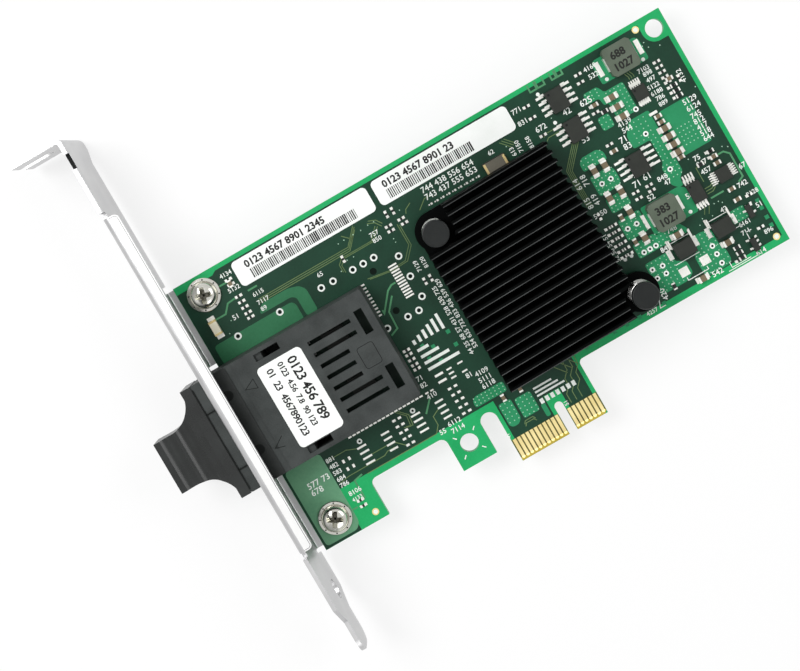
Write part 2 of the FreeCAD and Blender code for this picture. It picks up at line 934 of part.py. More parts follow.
def make_housing():
    body = new_body("transceiver_housing")
    half = module_wide / 2
    shell = new_sketch(body, "XY_Plane", module_low)
    rectangle(shell, (module_front, module_y - half), (module_rear, module_y + half))
    block_pad = pad(body, shell, s.module_high)
    uprights = []
    for x in (module_front, module_rear):
        for y in (module_y - half, module_y + half):
            uprights += edges_at(block_pad, x=x, y=y)
    round_off(body, block_pad, uprights, s.module_radius)

    # the electronics' room, open below
    room = new_sketch(body, "XY_Plane", module_top - s.module_wall)
    rectangle(
        room,
        (room_front, module_y - half + s.module_wall),
        (module_rear - s.module_wall, module_y + half - s.module_wall))
    pocket(body, room, s.module_high - s.module_wall + past)

    # two ports from the front, and the bores their optical assemblies pass through
    ports = new_sketch(body, "YZ_Plane", module_front + s.port_deep)
    for aside in mirrored(s.port_pitch / 2):
        middle = module_y + aside
        rectangle(
            ports,
            (middle - s.port_wide / 2, module_mid - s.port_high / 2),
            (middle + s.port_wide / 2, module_mid + s.port_high / 2))
    pocket(body, ports, s.port_deep + past)
    bores = new_sketch(body, "YZ_Plane", room_front)
    for aside in mirrored(s.port_pitch / 2):
        circle(bores, (module_y + aside, module_mid), s.barrel_wide + s.barrel_play * 2)
    pocket(body, bores, s.partition_thick + s.module_wall)

    # the lower collar behind the bracket, with its two mark slots
    collar_end = module_front + s.collar_long
    collar = new_sketch(body, "XY_Plane", module_top)
    rectangle(collar, (module_front - past, module_y - half - past), (collar_end, module_y + half + past))
    pocket(body, collar, s.collar_step)
    marks = new_sketch(body, "XY_Plane", module_top)
    for aside in mirrored(s.mark_slot_apart / 2):
        middle = module_y + aside
        start = module_front + s.mark_slot_back
        wide = s.mark_slot_wide / 2
        end = start + s.mark_slot_long
        outline(marks, [
            (start + wide, middle - wide),
            (end - wide, middle - wide),
            (end - wide, middle, "left"),
            (end - wide, middle + wide),
            (start + wide, middle + wide),
            (start + wide, middle, "left"),
        ])
    pocket(body, marks, s.collar_step + s.mark_slot_deep)

    # seven vents, the middle three shorter, and four windows through the top wall
    vents = new_sketch(body, "XY_Plane", module_top)
    vent_start = module_rear - s.vent_from_rear
    for step in range(-3, 4):
        middle = module_y + s.vent_pitch * step
        length = s.vent_short if abs(step) < 2 else s.vent_long
        rectangle(
            vents,
            (vent_start, middle - s.vent_wide / 2),
            (vent_start + length, middle + s.vent_wide / 2))
    window_end = module_rear - s.module_wall - s.rear_window_in + s.rear_window_long
    for aside in mirrored(s.rear_window_apart / 2):
        middle = module_y + aside
        rectangle(
            vents,
            (window_end - s.rear_window_long, middle - s.rear_window_wide / 2),
            (window_end, middle + s.rear_window_wide / 2))
    window_start = module_front + s.side_window_back
    for aside in mirrored(s.side_window_apart / 2):
        middle = module_y + aside
        rectangle(
            vents,
            (window_start, middle - s.side_window_wide / 2),
            (window_start + s.side_window_long, middle + s.side_window_wide / 2))
    pocket(body, vents, s.module_wall)
    return body


def make_module_base():
    # The plate that closes the housing from below, with feet, two posts and two ribs under the inner board.
    half = module_wide / 2 - s.module_wall - s.base_play
    end = module_rear - s.module_wall - s.base_play
    top_level = module_low + s.base_thick
    plate = (base_start, module_y - half, module_low), (end, module_y + half, top_level)
    parts = [block("base_plate", *plate)]
    for x in (base_start, end - s.base_foot):
        for y in (module_y - half, module_y + half - s.base_foot):
            parts.append(block("base_foot", (x, y, face), (x + s.base_foot, y + s.base_foot, module_low)))
    for y in (module_y - half, module_y + half - s.rib_wide):
        corners = (inner_board_front, y, top_level), (end, y + s.rib_wide, inner_board_low)
        parts.append(block("base_rib", *corners))
    for aside in mirrored(s.post_apart / 2):
        place = (post_x, module_y + aside, -s.post_past)
        parts.append(rod("base_post", place, module_low + s.post_past, s.post_wide))
    holes = []
    for shift in pin_shifts:
        middle = (pin_x, module_y + s.pin_pitch * shift)
        side = s.pin_wide + s.pin_hole_play * 2
        holes.append(block("base_hole", *centred(middle, side, side, module_low - past, inner_board_low)))
    return cut("transceiver_base", join("base_solid", parts), holes)


def make_inner_board():
    half = module_wide / 2 - s.module_wall - s.inner_board_play
    end = module_rear - s.module_wall - s.inner_board_play
    return block(
        "transceiver_board",
        (inner_board_front, module_y - half, inner_board_low),
        (end, module_y + half, inner_board_low + s.inner_board_thick))


def make_inner_chips():
    level = inner_board_low + s.inner_board_thick
    chips = []
    for aside in mirrored(s.inner_chip_apart / 2):
        start = inner_board_front + s.inner_chip_in
        low = (start - s.inner_chip / 2, module_y + aside - s.inner_chip / 2, level)
        high = (low[0] + s.inner_chip, low[1] + s.inner_chip, level + s.inner_chip_high)
        chips.append(block("inner_chip", low, high))
    return group("transceiver_chips", chips)


def make_module_pins():
    pins = []
    for shift in pin_shifts:
        middle = (pin_x, module_y + s.pin_pitch * shift)
        corners = centred(middle, s.pin_wide, s.pin_wide, -s.pin_past, inner_board_low)
        pins.append(block("module_pin", *corners))
    return group("transceiver_pins", pins)


def make_optics(name, aside):
    # A barrel through the partition, its receptacle sleeve in the port, and two leads behind it.
    middle = module_y + aside
    barrel_start = module_front + s.port_deep
    sleeve_start = barrel_start - s.sleeve_long
    barrel_end = barrel_start + s.barrel_long
    lead_low = inner_board_low + s.inner_board_thick
    parts = [
        rod("optic_sleeve", (sleeve_start, middle, module_mid), s.sleeve_long, s.sleeve_wide, "x"),
        rod("optic_barrel", (barrel_start, middle, module_mid), s.barrel_long, s.barrel_wide, "x"),
    ]
    half = s.optic_lead_wide / 2
    for shift in mirrored(s.optic_lead_apart / 2):
        low = (barrel_end, middle + shift - half, lead_low)
        high = (barrel_end + s.optic_lead_long, middle + shift + half, lead_low + s.optic_lead_wide)
        parts.append(block("optic_lead", low, high))
    return join(name, parts)


def make_plug():
    body = new_body("dust_plug")
    half = module_wide / 2
    grip = s.plug_grip_wide / 2
    flange_front = module_front - s.plug_flange
    end = module_front - s.plug_long
    scoop_x = flange_front - s.plug_scoop
    shape = new_sketch(body, "XY_Plane", module_mid - s.plug_grip_high / 2)
    outline(shape, [
        (end, module_y - grip),
        (scoop_x, module_y - grip),
        (scoop_x, module_y - grip - s.plug_scoop, "right"),
        (flange_front, module_y - grip - s.plug_scoop),
        (flange_front, module_y + grip + s.plug_scoop),
        (scoop_x, module_y + grip + s.plug_scoop, "right"),
        (scoop_x, module_y + grip),
        (end, module_y + grip),
    ])
    waist = pad(body, shape, s.plug_grip_high)

    # finger waves across both faces of the grip
    waves = new_sketch(body, "XZ_Plane")
    for side in mirrored(s.plug_grip_high / 2 - s.plug_wave_deep + s.plug_wave_radius):
        for step in range(2):
            middle = end + s.plug_wave_pitch * (step + 0.75)
            circle(waves, (middle, module_mid + side), s.plug_wave_radius * 2)
    pocket(body, waves)

    flange = new_sketch(body, "YZ_Plane", flange_front)
    rectangle(flange, (module_y - half, module_low), (module_y + half, module_top))
    pad(body, flange, s.plug_flange)
    prongs = new_sketch(body, "YZ_Plane", module_front)
    wide = s.port_wide / 2 - s.plug_play
    high = s.port_high / 2 - s.plug_play
    for aside in mirrored(s.port_pitch / 2):
        middle = module_y + aside
        rectangle(prongs, (middle - wide, module_mid - high), (middle + wide, module_mid + high))
    pad(body, prongs, s.prong_long)
    bores = new_sketch(body, "YZ_Plane", module_front + s.prong_long)
    half = s.prong_bore / 2
    for aside in mirrored(s.port_pitch / 2):
        middle = module_y + aside
        rectangle(bores, (middle - half, module_mid - half), (middle + half, module_mid + half))
    pocket(body, bores, s.prong_long)
    return body


# Labels

def make_label(name, low, long, wide, level):
    body = new_body(name)
    sketch = new_sketch(body, "XY_Plane", level)
    high = (low[0] + long, low[1] + wide)
    rectangle(sketch, low, high)
    paper = pad(body, sketch, s.label_thick)
    corners = []
    for x in (low[0], high[0]):
        for y in (low[1], high[1]):
            corners += edges_at(paper, x=x, y=y)
    round_off(body, paper, corners, s.label_radius)
    return body


# Heat sink, drawn square to its own middle and then turned

def make_heat_sink():
    body = new_body("heat_sink")
    half_long = s.sink_long / 2
    half_wide = (s.fin_pitch * 20 + s.fin_thick) / 2
    upper, lower = sink_pins.values()
    base = new_sketch(body, "XY_Plane", sink_low)
    rectangle(base, (-half_long, -half_wide), (half_long, half_wide))
    plate = pad(body, base, s.sink_base)
    corner = half_long - s.upper_pin_back
    round_off(body, plate, edges_at(plate, x=-half_long, y=half_wide), corner)
    lobes = new_sketch(body, "XY_Plane", sink_low)
    circle(lobes, upper, s.lobe_radius * 2)
    pad(body, lobes, s.sink_base)
    lobes = new_sketch(body, "XY_Plane", sink_low)
    circle(lobes, lower, s.lobe_radius * 2)
    pad(body, lobes, s.sink_base)

    fin = new_sketch(body, "XY_Plane", sink_face)
    rectangle(fin, (-half_long, -half_wide), (half_long, s.fin_thick - half_wide))
    first_fin = pad(body, fin, s.fin_high)
    fins = repeat(body, first_fin, fin, "V_Axis", s.fin_pitch * 20, 21)

    # corners cleared of fins so that a driver reaches the push pins
    clearings = new_sketch(body, "XY_Plane", sink_face + s.fin_high)
    upper_edge = (s.upper_pocket_long - half_long, half_wide - s.upper_pocket_wide)
    lower_edge = (half_long - s.lower_pocket_long, s.lower_pocket_wide - half_wide)
    radius = s.pocket_radius
    outline(clearings, [
        (-half_long - past, upper_edge[1]),
        (upper_edge[0] - radius, upper_edge[1]),
        (upper_edge[0] - radius, upper_edge[1] + radius, "left"),
        (upper_edge[0], upper_edge[1] + radius),
        (upper_edge[0], half_wide + past),
        (-half_long - past, half_wide + past),
    ])
    outline(clearings, [
        (lower_edge[0], -half_wide - past),
        (half_long + past, -half_wide - past),
        (half_long + past, lower_edge[1]),
        (lower_edge[0] + radius, lower_edge[1]),
        (lower_edge[0] + radius, lower_edge[1] - radius, "left"),
        (lower_edge[0], lower_edge[1] - radius),
    ])
    pocket(body, clearings, s.fin_high)
    bores = new_sketch(body, "XY_Plane")
    for place in sink_pins.values():
        circle(bores, place, s.pin_bore)
    pocket(body, bores)
    body.Placement = FreeCAD.Placement(FreeCAD.Vector(), FreeCAD.Rotation(FreeCAD.Vector(0, 0, 1), 1))
    body.setExpression("Placement.Rotation.Angle", f"{s.sink_turn.text} * 1deg")
    move(body, (sink_x, sink_y, 0))
    return body


def make_under_sink(name, low, high):
    half = s.package_side / 2
    return block(name, (sink_x - half, sink_y - half, low), (sink_x + half, sink_y + half, high))


def make_push_pin(place):
    body = new_body("push_pin")
    shank = s.push_shank / 2
    cap_low = sink_face + s.spring_room
    cap = s.cap_wide / 2
    profile = new_sketch(body, "XZ_Plane")
    outline(profile, [
        (0, -s.barb_play - s.barb_long),
        (s.barb_tip / 2, -s.barb_play - s.barb_long),
        (s.barb_wide / 2, -s.barb_play),
        (shank, -s.barb_play),
        (shank, cap_low),
        (cap, cap_low),
        (cap - s.cap_draft, cap_low + s.cap_thick),
        (0, cap_low + s.cap_thick),
    ])
    revolve(body, profile)
    # the split that lets the barbs close
    split = new_sketch(body, "YZ_Plane")
    half = s.barb_slot / 2
    rectangle(split, (-half, -s.barb_play - s.barb_long - past), (half, face))
    pocket(body, split)
    move(body, (place[0], place[1], 0))
    return body


def make_spring(place):
    # A coil of wire between the heat sink's base and the pin's cap. The wire has four sides and the coil
    # eight steps a turn, joined by flat facets.
    wire = sheet.spring_wire / 2
    mean = sheet.spring_wide / 2 - wire
    rise = sheet.spring_room - sheet.spring_wire
    steps = round(8 * rise / sheet.spring_pitch)
    rings = []
    for step in range(steps + 1):
        turn = math.radians(45 * step)
        ring = []
        for side in range(4):
            angle = math.radians(90 * side)
            reach = mean + wire * math.cos(angle)
            height = wire + rise * step / steps + wire * math.sin(angle)
            ring.append(FreeCAD.Vector(reach * math.cos(turn), reach * math.sin(turn), height))
        rings.append(ring)
    facets = [rings[0][::-1], rings[-1]]
    for ring, after in zip(rings, rings[1:]):
        for side in range(4):
            beside = (side + 1) % 4
            facets.append([ring[side], ring[beside], after[beside]])
            facets.append([ring[side], after[beside], after[side]])
    faces = [Part.Face(Part.makePolygon(corners + corners[:1])) for corners in facets]
    spring = doc.addObject("Part::Feature", "push_pin_spring")
    spring.Shape = Part.Solid(Part.Shell(faces))
    move(spring, (place[0], place[1], sink_face))
    return spring


# Board-mounted pieces

def make_crystal():
    middle = spot("crystal")
    level = face + s.crystal_base_high
    base = block("crystal_base", *centred(middle, s.crystal_long, s.crystal_wide, face, level))
    lid_long = s.crystal_long - s.crystal_rim * 2
    lid_wide = s.crystal_wide - s.crystal_rim * 2
    lid = block("crystal_lid", *centred(middle, lid_long, lid_wide, level, level + s.crystal_lid_high))
    return [base, lid]


def make_lamp():
    middle = (left + s.lamp_in, top - s.lamp_down)
    return block("link_lamp", *centred(middle, s.lamp_wide, s.lamp_long, face, face + s.lamp_high))


def make_coil(name):
    body = new_body(name)
    x, y = spot(name)
    half = s.coil_side / 2
    short = half - s.coil_corner
    sketch = new_sketch(body, "XY_Plane", face + s.coil_lift)
    outline(sketch, [
        (x - short, y - half),
        (x + short, y - half),
        (x + half, y - short),
        (x + half, y + short),
        (x + short, y + half),
        (x - short, y + half),
        (x - half, y + short),
        (x - half, y - short),
    ])
    pad(body, sketch, s.coil_high - s.coil_lift)
    return body


def make_coil_feet(name):
    # A plated strip up each end of the inductor, turned in a little under it.
    x, y = spot(name)
    feet = []
    for side in (-1, 1):
        edge = x + s.coil_side / 2 * side
        outer = edge + s.coil_foot_thick * side
        inner = edge - s.coil_foot_wide / 2 * side
        reach = sorted((edge, outer), key=lambda item: item.value)
        under = sorted((inner, edge), key=lambda item: item.value)
        y_low, y_high = y - s.coil_foot_wide / 2, y + s.coil_foot_wide / 2
        feet.append(join("coil_foot", [
            block("coil_strip", (reach[0], y_low, face), (reach[1], y_high, face + s.coil_foot_high)),
            block("coil_sole", (under[0], y_low, face), (under[1], y_high, face + s.coil_lift)),
        ]))
    return feet


def measure(kind, name):
    return getattr(s, f"{kind}_{name}")


def make_package(name, kind, turned):
    # A moulded body with draft above and below its parting line.
    body = new_body(name)
    low = face + measure(kind, "lift")
    high = face + measure(kind, "high")
    parting = (low + high) / 2
    sketch = new_sketch(body, "XY_Plane", parting)
    half_across = measure(kind, "across") / 2
    half_along = measure(kind, "along") / 2
    rectangle(sketch, (-half_across, -half_along), (half_across, half_along))
    feature = pad(body, sketch, high - parting)
    feature.SideType = "Two sides"
    feature.setExpression("Length2", (parting - low).text)
    feature.TaperAngle = -8
    feature.TaperAngle2 = -8
    place_package(body, name, turned)
    return body


def place_package(body, name, turned):
    angle = 90 if turned else 0
    body.Placement = FreeCAD.Placement(FreeCAD.Vector(), FreeCAD.Rotation(FreeCAD.Vector(0, 0, 1), angle))
    move(body, (*spot(name), 0))


def make_leads(name, kind, turned, sides):
    # A row of leads on each side, given as how many and how many pitches apart. Each lead runs out at the
    # parting line, down, and out again along the board.
    low = face + measure(kind, "lift")
    parting = (low + face + measure(kind, "high")) / 2
    thick = measure(kind, "lead_thick")
    inner = measure(kind, "across") / 2
    reach = measure(kind, "span") / 2
    knee = inner + (reach - inner) * 0.4
    wide = measure(kind, "lead_wide")
    shape = [
        (inner, parting - thick / 2),
        (knee - thick, parting - thick / 2),
        (knee - thick, face),
        (reach, face),
        (reach, face + thick),
        (knee, face + thick),
        (knee, parting + thick / 2),
        (inner, parting + thick / 2),
    ]
    bodies = []
    for side, (count, spacing) in zip((-1, 1), sides):
        body = new_body(f"{name}_lead_row")
        length = measure(kind, "pitch") * (spacing * (count - 1))
        sketch = new_sketch(body, "XZ_Plane", length / 2 - wide / 2)
        outline(sketch, [(u * side, v) for u, v in shape])
        lead = pad(body, sketch, wide, back=True)
        if count > 1:
            plane = new_sketch(body, "XY_Plane")
            repeat(body, lead, plane, "V_Axis", length, count)
        place_package(body, name, turned)
        bodies.append(body)
    return bodies


def place_of(row, step):
    # The place of one part of a row.
    x, y = spot(row)
    if f"{row}_step_in" in sizes:
        x = x - getattr(s, f"{row}_step_in") * step
    if f"{row}_step_down" in sizes:
        y = y - getattr(s, f"{row}_step_down") * step
    return (x, y)


def make_chip_part(kind, middle, upright):
    # A ceramic block and the plated ends that wrap it.
    long, wide = getattr(s, f"{kind}_long"), getattr(s, f"{kind}_wide")
    high, end = getattr(s, f"{kind}_high"), getattr(s, f"{kind}_end")
    core = (long - end * 2, wide - s.end_plating * 2)
    core_size = core[::-1] if upright else core
    ceramic = block(f"{kind}_core", *centred(middle, *core_size, face, face + high - s.end_plating))
    ends = []
    for aside in mirrored((long - end) / 2):
        place = (middle[0], middle[1] + aside) if upright else (middle[0] + aside, middle[1])
        end_size = (wide, end) if upright else (end, wide)
        ends.append(block(f"{kind}_plating", *centred(place, *end_size, face, face + high)))
    return ceramic, ends


# Every piece, under the name it is kept by

pieces = {
    "circuit_board": make_board(),
    "edge_contacts": make_contacts(),
    "io_bracket": make_bracket(),
    "bracket_screws": group("bracket_screws", [make_screw(height) for height in screw_heights]),
    "transceiver_housing": make_housing(),
    "transceiver_base": make_module_base(),
    "transceiver_board": make_inner_board(),
    "transceiver_chips": make_inner_chips(),
    "transceiver_pins": make_module_pins(),
    "transmitter_optic": make_optics("transmitter_optic", s.port_pitch / 2),
    "receiver_optic": make_optics("receiver_optic", -s.port_pitch / 2),
    "dust_plug": make_plug(),
    "heat_sink": make_heat_sink(),
    "controller_chip": make_under_sink("controller_chip", face, package_top),
    "thermal_pad": make_under_sink("thermal_pad", package_top, sink_low),
    "push_pins": group("push_pins", [make_push_pin(place) for place in push_places]),
    "push_pin_springs": group("push_pin_springs", [make_spring(place) for place in push_places]),
    "link_lamp": make_lamp(),
    "upper_coil": make_coil("upper_coil"),
    "lower_coil": make_coil("lower_coil"),
    "coil_feet": group("coil_feet", make_coil_feet("upper_coil") + make_coil_feet("lower_coil")),
}
pieces["crystal_base"], pieces["crystal_lid"] = make_crystal()

strip_low = (left + s.strip_label_in, top - s.strip_label_down - s.strip_label_wide)
next_low = (strip_low[0] + s.strip_label_long + s.strip_label_apart, strip_low[1])
module_label_low = (
    module_front + s.module_label_back, module_y - s.module_label_aside - s.module_label_wide / 2)
pieces["address_label"] = make_label("address_label", strip_low, s.strip_label_long, s.strip_label_wide, face)
pieces["serial_label"] = make_label("serial_label", next_low, s.strip_label_long, s.strip_label_wide, face)
pieces["transceiver_label"] = make_label(
    "transceiver_label", module_label_low, s.module_label_long, s.module_label_wide, module_top)

# kind of package, whether it is turned a quarter, and its two sides of leads
leaded = {
    "upper_switch": ("so", False, "four_and_four"),
    "middle_switch": ("so", False, "four_and_four"),
    "memory_chip": ("so", False, "four_and_four"),
    "upper_driver": ("fine", True, "five_and_five"),
    "lower_driver": ("fine", False, "five_and_five"),
    "sense_chip": ("thin", True, "four_and_four"),
    "left_diode": ("slab", False, "one_and_one"),
    "right_diode": ("slab", False, "one_and_one"),
    "transistor": ("dot", False, "one_and_two"),
    "monitor_chip": ("dot", False, "two_and_three"),
}
# for each side, how many leads and how many pitches apart
lead_counts = {
    "four_and_four": ((4, 1), (4, 1)),
    "five_and_five": ((5, 1), (5, 1)),
    "one_and_one": ((1, 1), (1, 1)),
    "one_and_two": ((1, 1), (2, 2)),
    "two_and_three": ((2, 2), (3, 1)),
}
for name, (kind, turned, sides) in leaded.items():
    pieces[name] = make_package(name, kind, turned)
    rows_of_leads = make_leads(name, kind, turned, lead_counts[sides])
    pieces[f"{name}_leads"] = group(f"{name}_leads", rows_of_leads)

row_kinds = {
    "large_cap": (
        "input_caps", "output_caps", "side_caps", "middle_caps", "lower_caps", "coil_cap", "far_diode_cap",
        "low_diode_cap"),
    "small_cap": (
        "input_filter_cap", "top_cap", "corner_cap", "filter_caps", "end_cap", "bias_cap", "side_filter_caps",
        "edge_filter_caps", "low_edge_caps", "under_sink_caps"),
    "resistor": ("edge_resistors", "input_resistor", "drive_resistors", "corner_resistors", "low_resistor"),
}
# a row with no count here has one part
row_counts = {
    "input_caps": 3, "output_caps": 4, "side_caps": 2, "middle_caps": 2, "lower_caps": 2, "filter_caps": 2,
    "side_filter_caps": 2, "edge_filter_caps": 2, "low_edge_caps": 2, "under_sink_caps": 2,
    "edge_resistors": 3, "drive_resistors": 2, "corner_resistors": 3,
}
upright_rows = (
    "side_caps", "middle_caps", "lower_caps", "side_filter_caps", "under_sink_caps", "corner_cap",
    "low_resistor")
cores = {"large_cap": [], "small_cap": [], "resistor": []}
platings = {"large_cap": [], "small_cap": [], "resistor": []}
for kind, names in row_kinds.items():
    for row in names:
        for step in range(row_counts.get(row, 1)):
            core, ends = make_chip_part(kind, place_of(row, step), row in upright_rows)
            cores[kind].append(core)
            platings[kind] += ends
pieces["capacitor_bodies"] = group("capacitor_bodies", cores["large_cap"] + cores["small_cap"])
pieces["capacitor_ends"] = group("capacitor_ends", platings["large_cap"] + platings["small_cap"])
pieces["resistor_bodies"] = group("resistor_bodies", cores["resistor"])
pieces["resistor_ends"] = group("resistor_ends", platings["resistor"])

doc.recompute()
for item in doc.Objects:
    if "Invalid" in item.State or "Error" in item.State:
        raise RuntimeError(f"{item.Label} did not build: {item.State}")
    if item.TypeId == "PartDesign::Pocket":
        before = item.BaseFeature.Shape.Volume
        if item.Shape.Volume > before - 1e-4:
            raise RuntimeError(f"{item.Label} cuts nothing")
for name, piece in pieces.items():
    piece.Label = name
    if piece.Shape.isNull() or not piece.Shape.isValid():
        raise RuntimeError(f"{name} is not a sound solid")

os.makedirs("parts", exist_ok=True)
for name, piece in pieces.items():
    piece.Shape.exportStep(f"parts/{name}.step")
print(len(pieces), "pieces written")
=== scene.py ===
import math
from types import SimpleNamespace

import bmesh
import bpy
from mathutils import Matrix, Vector


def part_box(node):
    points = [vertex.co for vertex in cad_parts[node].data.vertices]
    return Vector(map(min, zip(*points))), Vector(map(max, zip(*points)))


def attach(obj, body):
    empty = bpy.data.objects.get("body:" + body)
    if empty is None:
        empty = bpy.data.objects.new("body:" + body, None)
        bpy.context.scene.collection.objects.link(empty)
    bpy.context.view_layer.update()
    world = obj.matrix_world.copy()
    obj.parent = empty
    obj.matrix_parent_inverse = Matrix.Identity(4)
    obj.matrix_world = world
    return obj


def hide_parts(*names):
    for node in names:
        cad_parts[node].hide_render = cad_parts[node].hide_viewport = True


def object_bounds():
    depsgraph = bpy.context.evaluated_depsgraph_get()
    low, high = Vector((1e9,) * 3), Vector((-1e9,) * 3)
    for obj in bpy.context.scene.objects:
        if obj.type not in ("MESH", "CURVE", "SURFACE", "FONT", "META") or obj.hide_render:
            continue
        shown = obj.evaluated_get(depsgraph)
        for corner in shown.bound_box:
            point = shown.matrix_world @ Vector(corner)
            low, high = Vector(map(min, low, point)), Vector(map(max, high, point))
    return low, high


# A short network card with an optical transceiver, seen from above its component side.
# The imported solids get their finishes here. Copper, solder, print and springs are added on them.
# Sizes and places are in millimetres in the board's frame, and mm turns them to metres.

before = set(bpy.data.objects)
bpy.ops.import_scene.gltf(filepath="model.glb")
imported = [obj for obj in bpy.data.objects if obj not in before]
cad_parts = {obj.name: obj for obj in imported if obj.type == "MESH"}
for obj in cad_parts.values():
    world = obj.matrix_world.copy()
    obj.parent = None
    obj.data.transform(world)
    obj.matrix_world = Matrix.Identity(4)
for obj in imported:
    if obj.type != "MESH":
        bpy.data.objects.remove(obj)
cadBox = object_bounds()
scene = bpy.context.scene
scene.view_settings.view_transform = "Standard"
mm = 0.001


def boxOf(node):
    # a solid's lowest and highest corners, in millimetres
    return [SimpleNamespace(x=corner.x / mm, y=corner.y / mm, z=corner.z / mm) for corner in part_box(node)]


boardLow, boardHigh = boxOf("circuit_board")
top = boardHigh.z
print("frame loaded,", len(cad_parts), "nodes")


# Finishes

def linear(code):
    # an sRGB hex colour as linear red, green, blue and alpha
    parts = [int(code[place:place + 2], 16) / 255 for place in (1, 3, 5)]
    return [c / 12.92 if c <= 0.04045 else ((c + 0.055) / 1.055) ** 2.4 for c in parts] + [1.0]


def addNode(tree, kind, settings=None, sockets=None):
    # a node with its settings, and its sockets set to values or linked to other nodes' outputs
    node = tree.nodes.new(kind)
    for name, value in (settings or {}).items():
        setattr(node, name, value)
    for name, value in (sockets or {}).items():
        if isinstance(value, bpy.types.NodeSocket):
            tree.links.new(value, node.inputs[name])
        else:
            node.inputs[name].default_value = value
    return node


